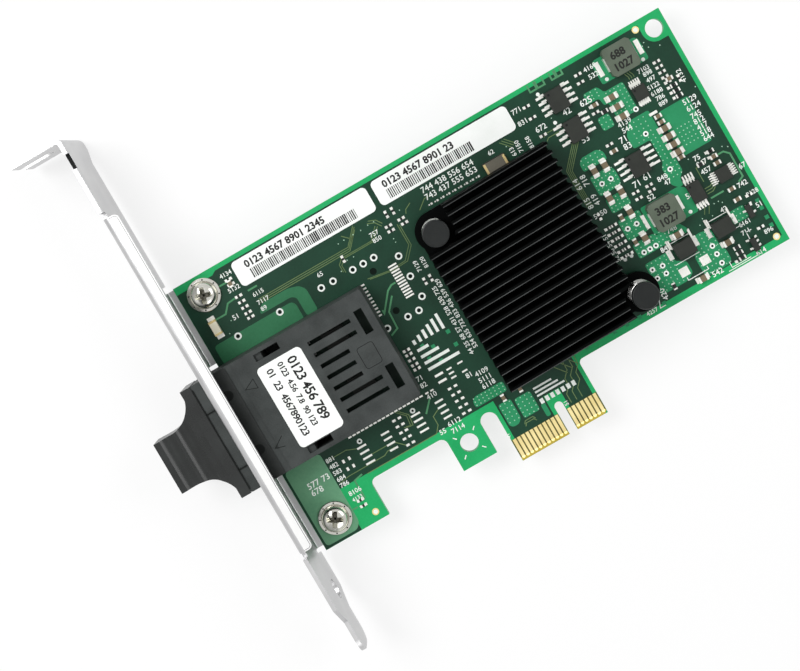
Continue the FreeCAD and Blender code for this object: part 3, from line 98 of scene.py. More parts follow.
# Each finish: two shades that a soft noise mixes, roughness and its spread, the grain's width in mm, how
# the grain stretches along x, y and z, how deep it is in mm, and how metallic or shiny it is. What a finish
# leaves out is as makeFinish has it.
finishes = {
    # glass-fibre laminate under satin green solder mask: even, slightly glossy, with a faint weave
    "bareLaminate": dict(shades=("#149b57", "#22ad66"), rough=0.34, grain=0.5),
    "maskOverPlane": dict(shades=("#052c1c", "#0d3b28"), rough=0.36, spread=0.1, grain=0.5),
    "maskOverPour": dict(shades=("#1e8152", "#2c9161"), rough=0.32, spread=0.1, grain=0.6),
    "maskOverDeepPour": dict(shades=("#246440", "#32744f"), rough=0.32, spread=0.1, grain=0.6),
    # mask over the pour beside the bracket, painted paler and greyer: a painted reflection of the bright
    # bracket
    "maskOverPourPaintedReflection": dict(shades=("#558a69", "#699c79"), rough=0.34, spread=0.1, grain=0.6),
    "maskOverTrace": dict(shades=("#45845a", "#56966a"), rough=0.32, grain=0.6, depth=0.003),
    "maskOverFineTrace": dict(shades=("#51683f", "#6f8656"), rough=0.34, grain=0.6, depth=0.003),
    "maskedVia": dict(shades=("#a3cdb4", "#bfe0cb"), rough=0.4, grain=0.2, depth=0.003),
    # mask inside the transceiver, seen through its vents, painted dark as the shade inside the housing
    "paintedShadeMask": dict(shades=("#071b12", "#0f2a1d"), rough=0.5, grain=0.4),
    # white screen-printed epoxy ink: flat and chalky
    "whiteInk": dict(shades=("#e4ebe4", "#f4f7f3"), rough=0.62, spread=0.06, grain=0.12, depth=0.003),
    "blackInk": dict(shades=("#0b0b0b", "#161616"), rough=0.55, spread=0.06, grain=0.1, depth=0.002),
    "greyInk": dict(shades=("#131411", "#1f211d"), rough=0.6, spread=0.06, grain=0.12, depth=0.002),
    # drilled hole seen from above: unlit
    "holeDark": dict(shades=("#07100c", "#0f1a14"), rough=0.8, spread=0.05, grain=0.4, depth=0.002,
                     shine=0.1),
    # hard gold plate on copper: mirror-like with fine wipe marks along the finger
    "hardGold": dict(shades=("#e6d08c", "#f3e3a8"), rough=0.34, spread=0.1, grain=0.25, stretch=(4, 0.5, 1),
                     depth=0.002, metal=1.0),
    # the tongue has no mask: dark glass cloth between the contacts and a cut, golden bevel below them
    "bareGlassCloth": dict(shades=("#4b461c", "#5e5828"), rough=0.5, depth=0.003),
    "cutGlassCloth": dict(shades=("#b39d32", "#cbb54a"), rough=0.55, depth=0.003),
    # reflowed tin solder: bright, gently dished
    "reflowedTin": dict(shades=("#dcdcd6", "#f2f2ec"), rough=0.34, spread=0.14, grain=0.35, depth=0.01,
                        metal=0.7),
    # nickel-plated sheet steel, rolled: satin with fine lines along the strip
    "nickelSheet": dict(shades=("#bababb", "#cbcbcb"), rough=0.36, spread=0.1, grain=0.4,
                        stretch=(3, 0.12, 3), metal=0.9),
    # the flange's face, painted brighter than the rest of the sheet: a painted reflection of its white
    # surroundings
    "paintedBrightNickel": dict(shades=("#e6e6e5", "#f2f2f1"), rough=0.42, stretch=(3, 0.12, 3), depth=0.003,
                          metal=0.25),
    # a line of painted shade along the flange's free edge, where it turns from the light
    "paintedEdgeShade": dict(shades=("#77787a", "#919293"), rough=0.5, spread=0.14, grain=0.4,
                        stretch=(3, 0.2, 3), depth=0.006, metal=0.8),
    # zinc-plated machine screw: bright, with turning marks
    "zincPlate": dict(shades=("#c9c8c0", "#dfded6"), rough=0.2, spread=0.12, depth=0.006, metal=1.0),
    # painted shade on the floor of the cross recess: darker zinc
    "paintedShadeZinc": dict(shades=("#4d4b43", "#6b685e"), rough=0.45, spread=0.12, depth=0.006, metal=0.5),
    # turned stainless steel
    "turnedSteel": dict(shades=("#a9a9a8", "#bdbdbc"), rough=0.28, stretch=(4, 1, 1), depth=0.003,
                        metal=1.0),
    # drawn music wire, oiled
    "drawnWire": dict(shades=("#b9b9b6", "#cfcfcc"), rough=0.22, grain=0.15, depth=0.002, metal=1.0),
    # glass-filled polymer, spark-eroded mould: dark grey with a fine even grain
    "mouldedHousing": dict(shades=("#272b2a", "#404443"), rough=0.52, spread=0.1, grain=0.26, depth=0.016),
    # the collar behind the bracket, painted darker: painted shade of its slope away from the light
    "paintedShadeCollar": dict(shades=("#1e2120", "#282b2a"), rough=0.45, spread=0.1, grain=0.22, depth=0.012),
    # painted shade: the dark fill drawn in the lid's grooves and pockets, the chips' dimples and the
    # bracket's notch
    "paintedRecessShade": dict(shades=("#141615", "#1b1e1d"), rough=0.6, spread=0.06, grain=0.2, depth=0.006,
                        shine=0.1),
    # soft black elastomer: matt, with a soft bloom
    "softRubber": dict(shades=("#0d100f", "#181c1b"), rough=0.3, spread=0.14, grain=0.4, depth=0.008,
                       shine=0.5),
    # epoxy moulding compound with a matt ejected face
    "chipEpoxy": dict(shades=("#20231f", "#2b2e29"), rough=0.55, spread=0.1, grain=0.14, depth=0.008),
    # black-anodised extrusion: fine die lines along the fins
    "blackAnodised": dict(shades=("#020303", "#050606"), rough=0.55, spread=0.12, grain=0.35,
                          stretch=(0.08, 3, 3), depth=0.006, shine=0.03),
    # the same anodising with a painted highlight along each fin's edge
    "paintedFinHighlight": dict(shades=("#2e3030", "#565958"), rough=0.34, spread=0.12, grain=0.6,
                         stretch=(0.1, 3, 3)),
    # black nylon, injection moulded
    "blackNylon": dict(shades=("#101313", "#1a1d1c"), rough=0.42, spread=0.1, grain=0.5, depth=0.006),
    # coated label stock: smooth and bright
    "coatedPaper": dict(shades=("#f0f4f0", "#fafcfa"), rough=0.5, spread=0.05, grain=0.25, depth=0.002),
    # filled silicone pad
    "siliconePad": dict(shades=("#6c6f73", "#7a7d80"), rough=0.7, spread=0.05, depth=0.006),
    # fired alumina and seam-welded lid of a crystal
    "firedCeramic": dict(shades=("#2a2823", "#38352e"), rough=0.5, grain=0.2),
    "crystalLid": dict(shades=("#5a574c", "#6d695c"), rough=0.36, spread=0.1, metal=0.3),
    "crystalEnd": dict(shades=("#cdb77e", "#e2cf99"), rough=0.3, spread=0.1, depth=0.003, metal=0.8),
    # clear epoxy lamp
    "clearEpoxy": dict(shades=("#e6dfc0", "#f3eed8"), rough=0.2, spread=0.05, grain=0.5, depth=0.003),
    # pressed iron powder with a grey-green lacquer: slightly pitted
    "pressedIron": dict(shades=("#505b4d", "#616b5d"), rough=0.5, spread=0.12, grain=0.22, depth=0.02),
    # barium titanate body of a chip capacitor
    "capacitorCeramic": dict(shades=("#665a46", "#7d7059"), rough=0.45, grain=0.25),
    # glazed film of a chip resistor
    "resistorGlaze": dict(shades=("#161a19", "#252a28"), rough=0.3, spread=0.06, depth=0.003),
}

# what all the finishes share: a fine noise and a broad one, and how they mix
pattern = {
    "fineDetail": 3.0,
    "fineRoughness": 0.55,
    "fineShare": 0.45,
    "broadTimes": 18,
    "broadDetail": 2.0,
    "darkUpTo": 0.45,
    "roughFrom": 0.4,
    "roughTo": 1.1,
    "relief": 0.6,
}


def makeFinish(name, shades, rough, spread=0.08, grain=0.3, depth=0.004, stretch=(1, 1, 1), metal=0.0,
               shine=0.25):
    material = bpy.data.materials.new(name)
    material.use_nodes = True
    tree = material.node_tree
    shader = tree.nodes["Principled BSDF"]
    place = addNode(tree, "ShaderNodeTexCoord").outputs["Object"]
    drawn = addNode(tree, "ShaderNodeMapping", sockets={"Vector": place, "Scale": stretch})
    fine = addNode(tree, "ShaderNodeTexNoise", sockets={
        "Vector": drawn.outputs["Vector"], "Scale": 1 / (grain * mm), "Detail": pattern["fineDetail"],
        "Roughness": pattern["fineRoughness"]}).outputs["Fac"]
    broad = addNode(tree, "ShaderNodeTexNoise", sockets={
        "Vector": place, "Scale": 1 / (grain * pattern["broadTimes"] * mm),
        "Detail": pattern["broadDetail"]}).outputs["Fac"]
    mixed = addNode(tree, "ShaderNodeMath", {"operation": "MULTIPLY_ADD"}, {
        0: fine, 1: pattern["fineShare"], 2: broad}).outputs[0]
    ramp = addNode(tree, "ShaderNodeValToRGB", sockets={"Fac": mixed})
    for element, position, shade in zip(ramp.color_ramp.elements, (pattern["darkUpTo"], 1.0), shades):
        element.position = position
        element.color = linear(shade)
    rougher = addNode(tree, "ShaderNodeMapRange", sockets={
        "Value": mixed, "From Min": pattern["roughFrom"], "From Max": pattern["roughTo"],
        "To Min": rough - spread / 2, "To Max": rough + spread / 2})
    bump = addNode(tree, "ShaderNodeBump", sockets={
        "Height": fine, "Strength": pattern["relief"], "Distance": depth * mm})
    tree.links.new(ramp.outputs["Color"], shader.inputs["Base Color"])
    tree.links.new(rougher.outputs["Result"], shader.inputs["Roughness"])
    tree.links.new(bump.outputs["Normal"], shader.inputs["Normal"])
    shader.inputs["Metallic"].default_value = metal
    shader.inputs["Specular IOR Level"].default_value = 0.5 if metal else shine
    return material


materials = {name: makeFinish(name, **choice) for name, choice in finishes.items()}

chips = ["upper_switch", "middle_switch", "memory_chip", "upper_driver", "lower_driver", "sense_chip",
         "left_diode", "right_diode", "transistor", "monitor_chip"]
nodeFinishes = {
    "bareLaminate": ["circuit_board"],
    "paintedShadeMask": ["transceiver_board"],
    "hardGold": ["edge_contacts"],
    "nickelSheet": ["io_bracket"],
    "mouldedHousing": ["transceiver_housing", "transceiver_base"],
    "turnedSteel": ["transmitter_optic", "receiver_optic"],
    "softRubber": ["dust_plug"],
    "blackAnodised": ["heat_sink"],
    "siliconePad": ["thermal_pad"],
    "clearEpoxy": ["link_lamp"],
    "pressedIron": ["upper_coil", "lower_coil"],
    "firedCeramic": ["crystal_base"],
    "crystalLid": ["crystal_lid"],
    "coatedPaper": ["address_label", "serial_label", "transceiver_label"],
    "capacitorCeramic": ["capacitor_bodies"],
    "resistorGlaze": ["resistor_bodies"],
    "zincPlate": ["bracket_screws"],
    "blackNylon": ["push_pins"],
    "drawnWire": ["push_pin_springs"],
    "chipEpoxy": ["transceiver_chips", "controller_chip"] + chips,
    "reflowedTin": ["transceiver_pins", "coil_feet", "capacitor_ends", "resistor_ends"]
                   + [f"{chip}_leads" for chip in chips],
}
for finish, names in nodeFinishes.items():
    for name in names:
        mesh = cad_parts[name].data
        mesh.materials.clear()
        mesh.materials.append(materials[finish])
print("finishes made:", len(materials))


# Making pieces

def put(name, data):
    # an object in the scene for a mesh, curve, lamp or camera
    thing = bpy.data.objects.new(name, data)
    scene.collection.objects.link(thing)
    return thing


def addPiece(name, mesh, finish, slot, *replaced):
    mesh.materials.clear()
    mesh.materials.append(materials[finish])
    piece = put(name, mesh)
    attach(piece, "root")
    if replaced:
        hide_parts(*replaced)


def meshOf(name, shape):
    mesh = bpy.data.meshes.new(name)
    shape.to_mesh(mesh)
    shape.free()
    return mesh


def settledMesh(carrier):
    # what an object with its modifiers comes to, as a plain mesh, after which the object goes
    shown = carrier.evaluated_get(bpy.context.evaluated_depsgraph_get())
    result = bpy.data.meshes.new_from_object(shown)
    bpy.data.objects.remove(carrier)
    return result


def softened(mesh):
    # smooth shading everywhere except over real edges
    mesh.polygons.foreach_set("use_smooth", [True] * len(mesh.polygons))
    mesh.set_sharp_from_angle(angle=math.radians(38))
    return mesh


def oblong(low, high):
    return [(low[0], low[1]), (high[0], low[1]), (high[0], high[1]), (low[0], high[1])]


def arc(middle, radius, first, last, steps):
    # points on a circle from one angle to another, in degrees
    turns = [math.radians(first + (last - first) * step / steps) for step in range(steps + 1)]
    return [(middle[0] + radius * math.cos(turn), middle[1] + radius * math.sin(turn)) for turn in turns]


def roundCorners(points, radius, steps=4):
    # the outline with every corner turned into a short curve
    points = [Vector(point) for point in points]
    result = []
    for before, corner, after in zip(points[-1:] + points[:-1], points, points[1:] + points[:1]):
        back, on = before - corner, after - corner
        reach = min(radius, back.length * 0.45, on.length * 0.45)
        start, end = corner + back.normalized() * reach, corner + on.normalized() * reach
        for step in range(steps + 1):
            share = step / steps
            result.append(start * (1 - share) ** 2 + corner * (2 * share * (1 - share)) + end * share ** 2)
    return result


def rounded(outlines, radius):
    return [roundCorners(points, radius) for points in outlines]


def ribbon(points, width):
    # the outline of a track of one width along a line of straight runs
    points = [Vector(point) for point in points]
    left, right = [], []
    for index, point in enumerate(points):
        runs = []
        if index:
            runs.append((point - points[index - 1]).normalized())
        if index < len(points) - 1:
            runs.append((points[index + 1] - point).normalized())
        along = sum(runs, Vector((0, 0))).normalized()
        across = Vector((-along.y, along.x))
        reach = width / 2 / max(0.3, along.dot(runs[0]))
        left.append(point + across * reach)
        right.append(point - across * reach)
    return left + right[::-1]


def ribbons(lines, width):
    return [ribbon(points, width) for points in lines]


def bundles(entries):
    # lines side by side: each entry is a line's corners, how many, and the shift from one to the next
    return [[(x + shift[0] * step, y + shift[1] * step) for x, y in points]
            for points, count, shift in entries for step in range(count)]


def plateMesh(name, outlines, low, high):
    # flat plates with the given outlines, from one level to another
    shape = bmesh.new()
    for points in outlines:
        face = shape.faces.new([shape.verts.new((x * mm, y * mm, low * mm)) for x, y in points])
        grown = bmesh.ops.extrude_face_region(shape, geom=[face])["geom"]
        lifted = [part for part in grown if isinstance(part, bmesh.types.BMVert)]
        bmesh.ops.translate(shape, verts=lifted, vec=(0, 0, (high - low) * mm))
    bmesh.ops.recalc_face_normals(shape, faces=shape.faces)
    bmesh.ops.triangulate(shape, faces=shape.faces)
    return meshOf(name, shape)


def film(name, outlines, level, rise, finish, slot, sunk=0.02):
    # thin plates let into a surface: they stand over its level by rise and reach below it by sunk
    addPiece(name, plateMesh(name, outlines, level - sunk, level + rise), finish, slot)


def latheMesh(name, profile, place, sides):
    # the profile of radius and height, turned about an upright line through the place
    shape = bmesh.new()
    rings = []
    for radius, height in profile:
        spots = arc(place, radius, 0, 360, sides)[:-1] if radius else [place]
        rings.append([shape.verts.new((x * mm, y * mm, height * mm)) for x, y in spots])
    for lower, upper in zip(rings, rings[1:]):
        for side in range(sides):
            after = (side + 1) % sides
            corners = [lower[side % len(lower)], lower[after % len(lower)],
                       upper[after % len(upper)], upper[side % len(upper)]]
            shape.faces.new(list(dict.fromkeys(corners)))
    bmesh.ops.recalc_face_normals(shape, faces=shape.faces)
    return softened(meshOf(name, shape))


def cutMesh(mesh, cutter):
    # the mesh with the cutter's space taken out of it
    whole, tool = put("whole", mesh), put("tool", cutter)
    modifier = whole.modifiers.new("cut", "BOOLEAN")
    modifier.object = tool
    modifier.solver = "EXACT"
    result = settledMesh(whole)
    bpy.data.objects.remove(tool)
    return softened(result)


def pointMesh(name, places, sizes=None):
    # loose points, each with its own size where sizes are given, for a node tree to stand things on
    mesh = bpy.data.meshes.new(name)
    mesh.from_pydata([(x * mm, y * mm, z * mm) for x, y, z in places], [], [])
    if sizes:
        layer = mesh.attributes.new("size", "FLOAT_VECTOR", "POINT")
        layer.data.foreach_set("vector", [value * mm for size in sizes for value in size])
    return mesh


def newTree(name, **inputs):
    # a node tree with a mesh in and a mesh out, and named inputs of which the material is the last
    tree = bpy.data.node_groups.new(name, "GeometryNodeTree")
    tree.interface.new_socket("Geometry", in_out="OUTPUT", socket_type="NodeSocketGeometry")
    for label, kind in {"Geometry": "Geometry", **inputs, "Material": "Material"}.items():
        tree.interface.new_socket(label, in_out="INPUT", socket_type=f"NodeSocket{kind}")
    return tree, addNode(tree, "NodeGroupInput").outputs


def endTree(tree, given, points, shape, scale=(1, 1, 1)):
    # the shape stands on every point, and all of it becomes real geometry with its material
    stood = addNode(tree, "GeometryNodeInstanceOnPoints", sockets={
        "Points": points, "Instance": shape, "Scale": scale})
    real = addNode(tree, "GeometryNodeRealizeInstances", sockets={"Geometry": stood.outputs[0]})
    coloured = addNode(tree, "GeometryNodeSetMaterial", sockets={
        "Geometry": real.outputs[0], "Material": given["Material"]})
    addNode(tree, "NodeGroupOutput", sockets={"Geometry": coloured.outputs[0]})
    return tree


def coneTree():
    # a cone frustum on every point
    tree, given = newTree("frustumOnPoints", Foot="Float", Crown="Float", Height="Float", Sides="Int")
    cone = addNode(tree, "GeometryNodeMeshCone", sockets={
        "Vertices": given["Sides"], "Radius Top": given["Crown"], "Radius Bottom": given["Foot"],
        "Depth": given["Height"]})
    return endTree(tree, given, given["Geometry"], cone.outputs["Mesh"])


def blockTree():
    # a block of the point's own size on every point
    tree, given = newTree("blockOnPoints")
    cube = addNode(tree, "GeometryNodeMeshCube", sockets={"Size": (1, 1, 1)})
    size = addNode(tree, "GeometryNodeInputNamedAttribute", {"data_type": "FLOAT_VECTOR"}, {"Name": "size"})
    return endTree(tree, given, given["Geometry"], cube.outputs["Mesh"], size.outputs[0])


def barTree():
    # a row of upright bars of random width along x
    tree, given = newTree("barsInRow", Count="Int", Start="Vector", Step="Vector", Thinnest="Vector",
                          Widest="Vector", Seed="Int")
    line = addNode(tree, "GeometryNodeMeshLine", sockets={
        "Count": given["Count"], "Start Location": given["Start"], "Offset": given["Step"]})
    width = addNode(tree, "FunctionNodeRandomValue", {"data_type": "FLOAT_VECTOR"}, {
        0: given["Thinnest"], 1: given["Widest"], "Seed": given["Seed"]})
    cube = addNode(tree, "GeometryNodeMeshCube", sockets={"Size": (1, 1, 1)})
    return endTree(tree, given, line.outputs["Mesh"], cube.outputs["Mesh"], width.outputs[0])


def springTree():
    # a coil of round wire on every point
    tree, given = newTree("springOnPoints", Turns="Float", Radius="Float", Height="Float", Wire="Float")
    path = addNode(tree, "GeometryNodeCurveSpiral", sockets={
        "Resolution": 28, "Rotations": given["Turns"], "Start Radius": given["Radius"],
        "End Radius": given["Radius"], "Height": given["Height"]})
    ring = addNode(tree, "GeometryNodeCurvePrimitiveCircle", sockets={
        "Resolution": 10, "Radius": given["Wire"]})
    wire = addNode(tree, "GeometryNodeCurveToMesh", sockets={
        "Curve": path.outputs[0], "Profile Curve": ring.outputs["Curve"], "Fill Caps": True})
    return endTree(tree, given, given["Geometry"], wire.outputs[0])


trees = {"cone": coneTree(), "block": blockTree(), "bars": barTree(), "spring": springTree()}


def grow(name, mesh, tree, finish, slot, values, *replaced):
    # runs a node tree on a mesh and keeps the result as a plain mesh
    source = put(f"{name}Source", mesh)
    modifier = source.modifiers.new("grow", "NODES")
    modifier.node_group = trees[tree]
    given = {"Material": materials[finish], **values}
    for socket in trees[tree].interface.items_tree:
        if socket.in_out == "INPUT" and socket.name in given:
            modifier[socket.identifier] = given[socket.name]
    addPiece(name, softened(settledMesh(source)), finish, slot, *replaced)


def dots(name, places, width, low, high, finish, slot, crown=None, sides=16):
    # round dots from one level to another, with a crown of its own width where one is given
    values = {"Foot": width / 2 * mm, "Crown": (width if crown is None else crown) / 2 * mm,
              "Height": (high - low) * mm, "Sides": sides}
    grow(name, pointMesh(name, [(x, y, low) for x, y in places]), "cone", finish, slot, values)


def blocks(name, entries, low, high, finish, slot):
    # blocks given as x, y, length and width, from one level to another
    places = [(x, y, (low + high) / 2) for x, y, _, _ in entries]
    sizes = [(long, wide, high - low) for _, _, long, wide in entries]
    grow(name, pointMesh(name, places, sizes), "block", finish, slot, {})


def figures(name, lines, low, high, finish, slot, weight, spacing=1.0):
    # printed figures: each line is its text, place, height and turn in degrees
    shape = bmesh.new()
    for text, place, size, turn in lines:
        curve = bpy.data.curves.new(name, "FONT")
        curve.body = text
        curve.size = size * mm * 1.38  # a figure is this much lower than its font's size
        curve.offset = size * mm * weight
        curve.space_character = spacing
        curve.extrude = (high - low) / 2 * mm
        curve.resolution_u = 2
        flat = settledMesh(put(name, curve))
        flat.transform(Matrix.Translation((place[0] * mm, place[1] * mm, (low + high) / 2 * mm))
                       @ Matrix.Rotation(math.radians(turn), 4, "Z"))
        shape.from_mesh(flat)
        bpy.data.meshes.remove(flat)
    addPiece(name, meshOf(name, shape), finish, slot)


# Board artwork: dark copper planes, paler pours and tracks, all under the solder mask

artwork = {
    "planeHigh": 0.015,
    "trackHigh": 0.026,
    "pourHigh": 0.03,
    "padHigh": 0.05,
    "inkHigh": 0.065,
    "margin": 1.0,
    "nearMargin": 0.04,
    "holeMargin": 2.75,
    "cornerHole": (55.53, 64.0),
    "square": 0.84,
    "pourCorner": 0.55,
    "deepCorner": 0.9,
    "wideTrack": 0.36,
    "fineTrack": 0.17,
}
margin, nearEdge = artwork["margin"], boardLow.x + artwork["nearMargin"]
farEdge, upperEdge = boardHigh.x - margin, boardHigh.y - margin
# the dark plane stands back from the board's edge and goes round the corner hole
bay = arc(artwork["cornerHole"], artwork["holeMargin"], 180, 270, 12)
planeOutline = [(nearEdge, 4.35), (-48.3, 4.35), (-48.3, 14.0), (farEdge, 14.0), (farEdge, bay[-1][1])]
planeOutline += bay[::-1]
planeOutline += [(bay[0][0], upperEdge), (boardLow.x + 9.5, upperEdge), (boardLow.x + 8.5, 65.6),
                 (nearEdge, 65.6)]
planes = [planeOutline, oblong((-11.3, 4.98), (-1.8, 14.0)), oblong((-1.8, 9.6), (1.8, 14.0)),
          oblong((1.8, 4.98), (7.3, 14.0))]
film("mask_planes", planes, top, artwork["planeHigh"], "maskOverPlane", "board_green")

# each pour is its corners in order, rounded a little
pours = [
    oblong((47.6, 38.2), (54.6, 48.6)),
    [(36.1, 57.2), (38.6, 57.2), (38.9, 55.4), (39.9, 55.4), (39.9, 51.2), (44.5, 51.2), (44.5, 57.8),
     (40.2, 57.8), (39.4, 59.5), (36.1, 59.5)],
    oblong((36.2, 50.8), (38.8, 53.7)),
    [(41.6, 50.1), (46.2, 50.1), (46.2, 35.8), (44.9, 34.6), (44.9, 33.1), (43.9, 33.1), (42.7, 34.4),
     (42.7, 38.4), (43.5, 39.2), (43.5, 44.6), (39.7, 44.6), (39.7, 47.6)],
    [(28.5, 45.6), (34, 45.6), (34, 47.4), (33, 48.4), (29.4, 48.4), (28.5, 47.5)],
    [(28.9, 39.6), (33.6, 39.6), (34.2, 40.6), (34.2, 43), (33.7, 44.1), (28.9, 44.1)],
    oblong((29.4, 35.2), (33.8, 38.5)), oblong((29.4, 28.7), (34.4, 33.4)),
    [(29.6, 24.3), (41.1, 24.3), (41.1, 25.1), (40.2, 26.7), (35.4, 26.9), (34.2, 27.6), (29.6, 27.6)],
    [(34.7, 26.9), (45, 26.9), (45, 32.5), (43.7, 33.4), (34.7, 33.4)],
    [(29.8, 15.5), (35.9, 15.5), (37.7, 16.5), (37.7, 19.2), (35.6, 20.4), (35.6, 22.8), (29.8, 22.8)],
    [(41.1, 24), (41.1, 22.9), (43.2, 22.9), (45.2, 22.3), (45.2, 18.3), (45.9, 17.2), (45.9, 14.9),
     (45, 14.2), (40.2, 14.2), (39.5, 15.2), (39.5, 19), (41.1, 20.6), (40.9, 22.9)],
    oblong((49.8, 20.7), (53.4, 23.5)),
    [(40.7, 59.2), (51.6, 59.2), (51.6, 63.8), (50.9, 64.5), (41.4, 64.5), (40.7, 63.8)],
    [(-15, 14.5), (-7.6, 14.5), (-7.6, 16.7), (-14.2, 16.7), (-15, 15.9)],
    [(-10.9, 7.9), (-10.3, 7.2), (-8.9, 7.2), (-8, 8.2), (-8, 12.7), (-10.9, 12.7)],
    oblong((-7.4, 7.6), (-3.7, 12.1)), oblong((-3.2, 5.5), (-2.2, 8.4)),
]
deepPours = [
    [(-44, 53.6), (-36.5, 53.6), (-35.6, 52.9), (-35.6, 48.4), (-33, 48.4), (-33, 53.6), (-34, 54.8),
     (-36.2, 55.5), (-42.6, 55.5)],
    [(-55.5, 48.2), (-36.4, 48.2), (-36.4, 51.9), (-37.1, 52.7), (-55.5, 52.7)],
]
# the pour beside the bracket is painted paler and greyer, a painted reflection of the bright bracket
paintedReflectionPours = [[(-56.3, 4.9), (-49, 4.9), (-47.9, 6.2), (-47.9, 22.6), (-56.3, 22.6)]]
# small squares near the edges
squares = [
    (56.45, 22.7), (56.45, 21), (56.45, 18.8), (56.45, 16.9), (29.4, 13.9), (23.6, 13.9), (20.6, 13.9),
    (17.6, 13.9), (11.1, 13.9), (-18.2, 31.2), (-16.3, 30), (-18.2, 28.2), (-16.3, 26.6), (-12, 28.1),
    (-12.1, 31.2),
]
side = artwork["square"] / 2
squareOutlines = [oblong((x - side, y - side), (x + side, y + side)) for x, y in squares]
pourHigh, deepCorner = artwork["pourHigh"], artwork["deepCorner"]
pourOutlines = rounded(pours, artwork["pourCorner"]) + squareOutlines
film("mask_pours", pourOutlines, top, pourHigh, "maskOverPour", "board_green")
film("deep_pours", rounded(deepPours, deepCorner), top, pourHigh, "maskOverDeepPour", "board_green")
film("painted_reflection_pours", rounded(paintedReflectionPours, deepCorner), top, pourHigh, "maskOverPourPaintedReflection", "board_green")

wideTracks = [
    [(-48.4, 62.9), (-46.4, 62.9)], [(-52.6, 57.3), (-50, 57.3), (-48.5, 59), (-46.6, 59.2)],
    [(-43.6, 59.2), (-41.4, 59.2)], [(-48.2, 8.9), (-46.6, 8.9)],
    [(-44.4, 9.8), (-44.4, 14), (-42.4, 14.4)], [(-24.6, 18.6), (-22.2, 21.2)],
    [(-21.6, 41.8), (-21.6, 41), (-18.6, 44.7), (-17.4, 45.4), (-16.4, 45.4)],
    [(-22.6, 36.3), (-20.8, 37), (-20.6, 40.8), (-18.4, 43.4)],
    [(53.5, 35), (55.3, 35), (56.3, 34), (56.3, 28.6), (55, 28)], [(48.4, 27.9), (51.4, 27.9)],
]
for start, end in ((27.1, 28.6), (28.9, 30.5), (32.2, 33.2), (33.5, 34.7)):
    wideTracks.append([(start, 66.9), (start, 65.3), (end, 65.3), (end, 66.9)])
singleTracks = [
    [(-47, 20.4), (-42.8, 20.4), (-40.4, 19.4)],
    [(-47.2, 15), (-45, 15.4), (-36.4, 15.4), (-35.4, 15.9), (-33.6, 15.9)],
    [(-40.4, 17), (-33.4, 17), (-31.2, 14.8)],
    [(-41.4, 13.95), (-24.8, 13.95), (-23.6, 15.4), (-23.6, 17.4), (-21.6, 18.4)],
    [(48.8, 31.6), (48.8, 34.8), (51.2, 35)], [(-21.3, 59.3), (-19.6, 57.6), (-18, 59.6)],
    [(-5.6, 58.1), (-7, 57.4), (-7.4, 56.6)], [(-4.6, 55.8), (-2.6, 57.4), (-1.6, 57.4)],
]
fineBundles = [
    ([(-42.6, 56.6), (-23.4, 56.6), (-21.2, 56.6), (-18.2, 59.9)], 3, (0, -0.42)),
    ([(-24.6, 52.6), (-24.6, 54.3), (-23.5, 55.3), (-16.4, 55.3), (-14.2, 57.6)], 2, (0.4, -0.3)),
    ([(25.5, 39), (25.5, 47.6), (26.9, 49.2), (29.6, 52.2)], 4, (0.34, -0.18)),
    ([(24.9, 55.9), (25.5, 56.4), (28, 56.4)], 2, (0.2, -1)),
    ([(-10.1, 55.6), (-10.1, 50.8), (-12.4, 48.3), (-16, 48.1), (-21, 48.9)], 2, (0.4, -0.3)),
    ([(-30.2, 22.3), (-28.3, 20.3), (-28.6, 18), (-30, 18.4)], 2, (0.5, 0)),
    ([(2.6, 5.6), (2.6, 7.6), (3.9, 9), (3.9, 10.6), (5.2, 12), (5.2, 13.8)], 3, (1.3, 0)),
    ([(3, 13.9), (5, 11.4)], 3, (1.4, 0.3)),
    ([(-8, 6), (-7.6, 6.6), (-5.8, 6.6), (-5.4, 6)], 2, (0, 0.5)),
    ([(45.6, 58.9), (46, 58), (46, 57.4)], 3, (0.55, 0)),
    ([(48.2, 30.2), (49.6, 30.2), (50.4, 30.8)], 3, (0, -0.6)),
    ([(45.6, 25.6), (46.4, 27)], 2, (0.9, -0.3)),
    ([(-15.4, 58.8), (-13.9, 58.2), (-13, 56.9)], 2, (0.4, 0.4)),
    ([(16.4, 59.6), (18.2, 57.6)], 3, (0.6, 0.1)),
]
fineTracks = singleTracks + bundles(fineBundles)
wideRuns, fineRuns = ribbons(wideTracks, artwork["wideTrack"]), ribbons(fineTracks, artwork["fineTrack"])
film("wide_tracks", wideRuns, top, artwork["trackHigh"], "maskOverTrace", "board_green")
film("fine_tracks", fineRuns, top, artwork["trackHigh"], "maskOverFineTrace", "board_green")
allPours = pourOutlines + deepPours + paintedReflectionPours
print("copper drawn:", len(planes + allPours), "planes and pours,", len(wideRuns + fineRuns), "tracks")

# Holes and vias

ringPlaces = [
    (-50.1, 52.1), (-40.1, 52.1), (-30.2, 52.1), (-27.4, 52.1), (-22.7, 52.1), (-20.2, 52.1), (-17.7, 52.1),
    (-13.1, 49.8), (-13.1, 45), (-13.1, 40.2), (-17.7, 38), (-15.1, 38), (-22.6, 38),
]
testPlaces = [
    (-39.4, 20.6), (-26.7, 20.6), (32.93, 20.79), (30.7, 21.1), (32.8, 19.05), (30.7, 19.05), (43.8, 19.2),
    (43.8, 17.3), (43.8, 15.2), (44.1, 37.3), (43.35, 46.1), (44.1, 51.5), (30.5, 41.7), (32.6, 41.7),
    (30.5, 31), (32.6, 31), (31, 25.1), (32.4, 25.1), (33.8, 25.1),
]
mountPlaces = [(52.0, 65.6), (56.2, 14.3), (-43.9, 6.2)]
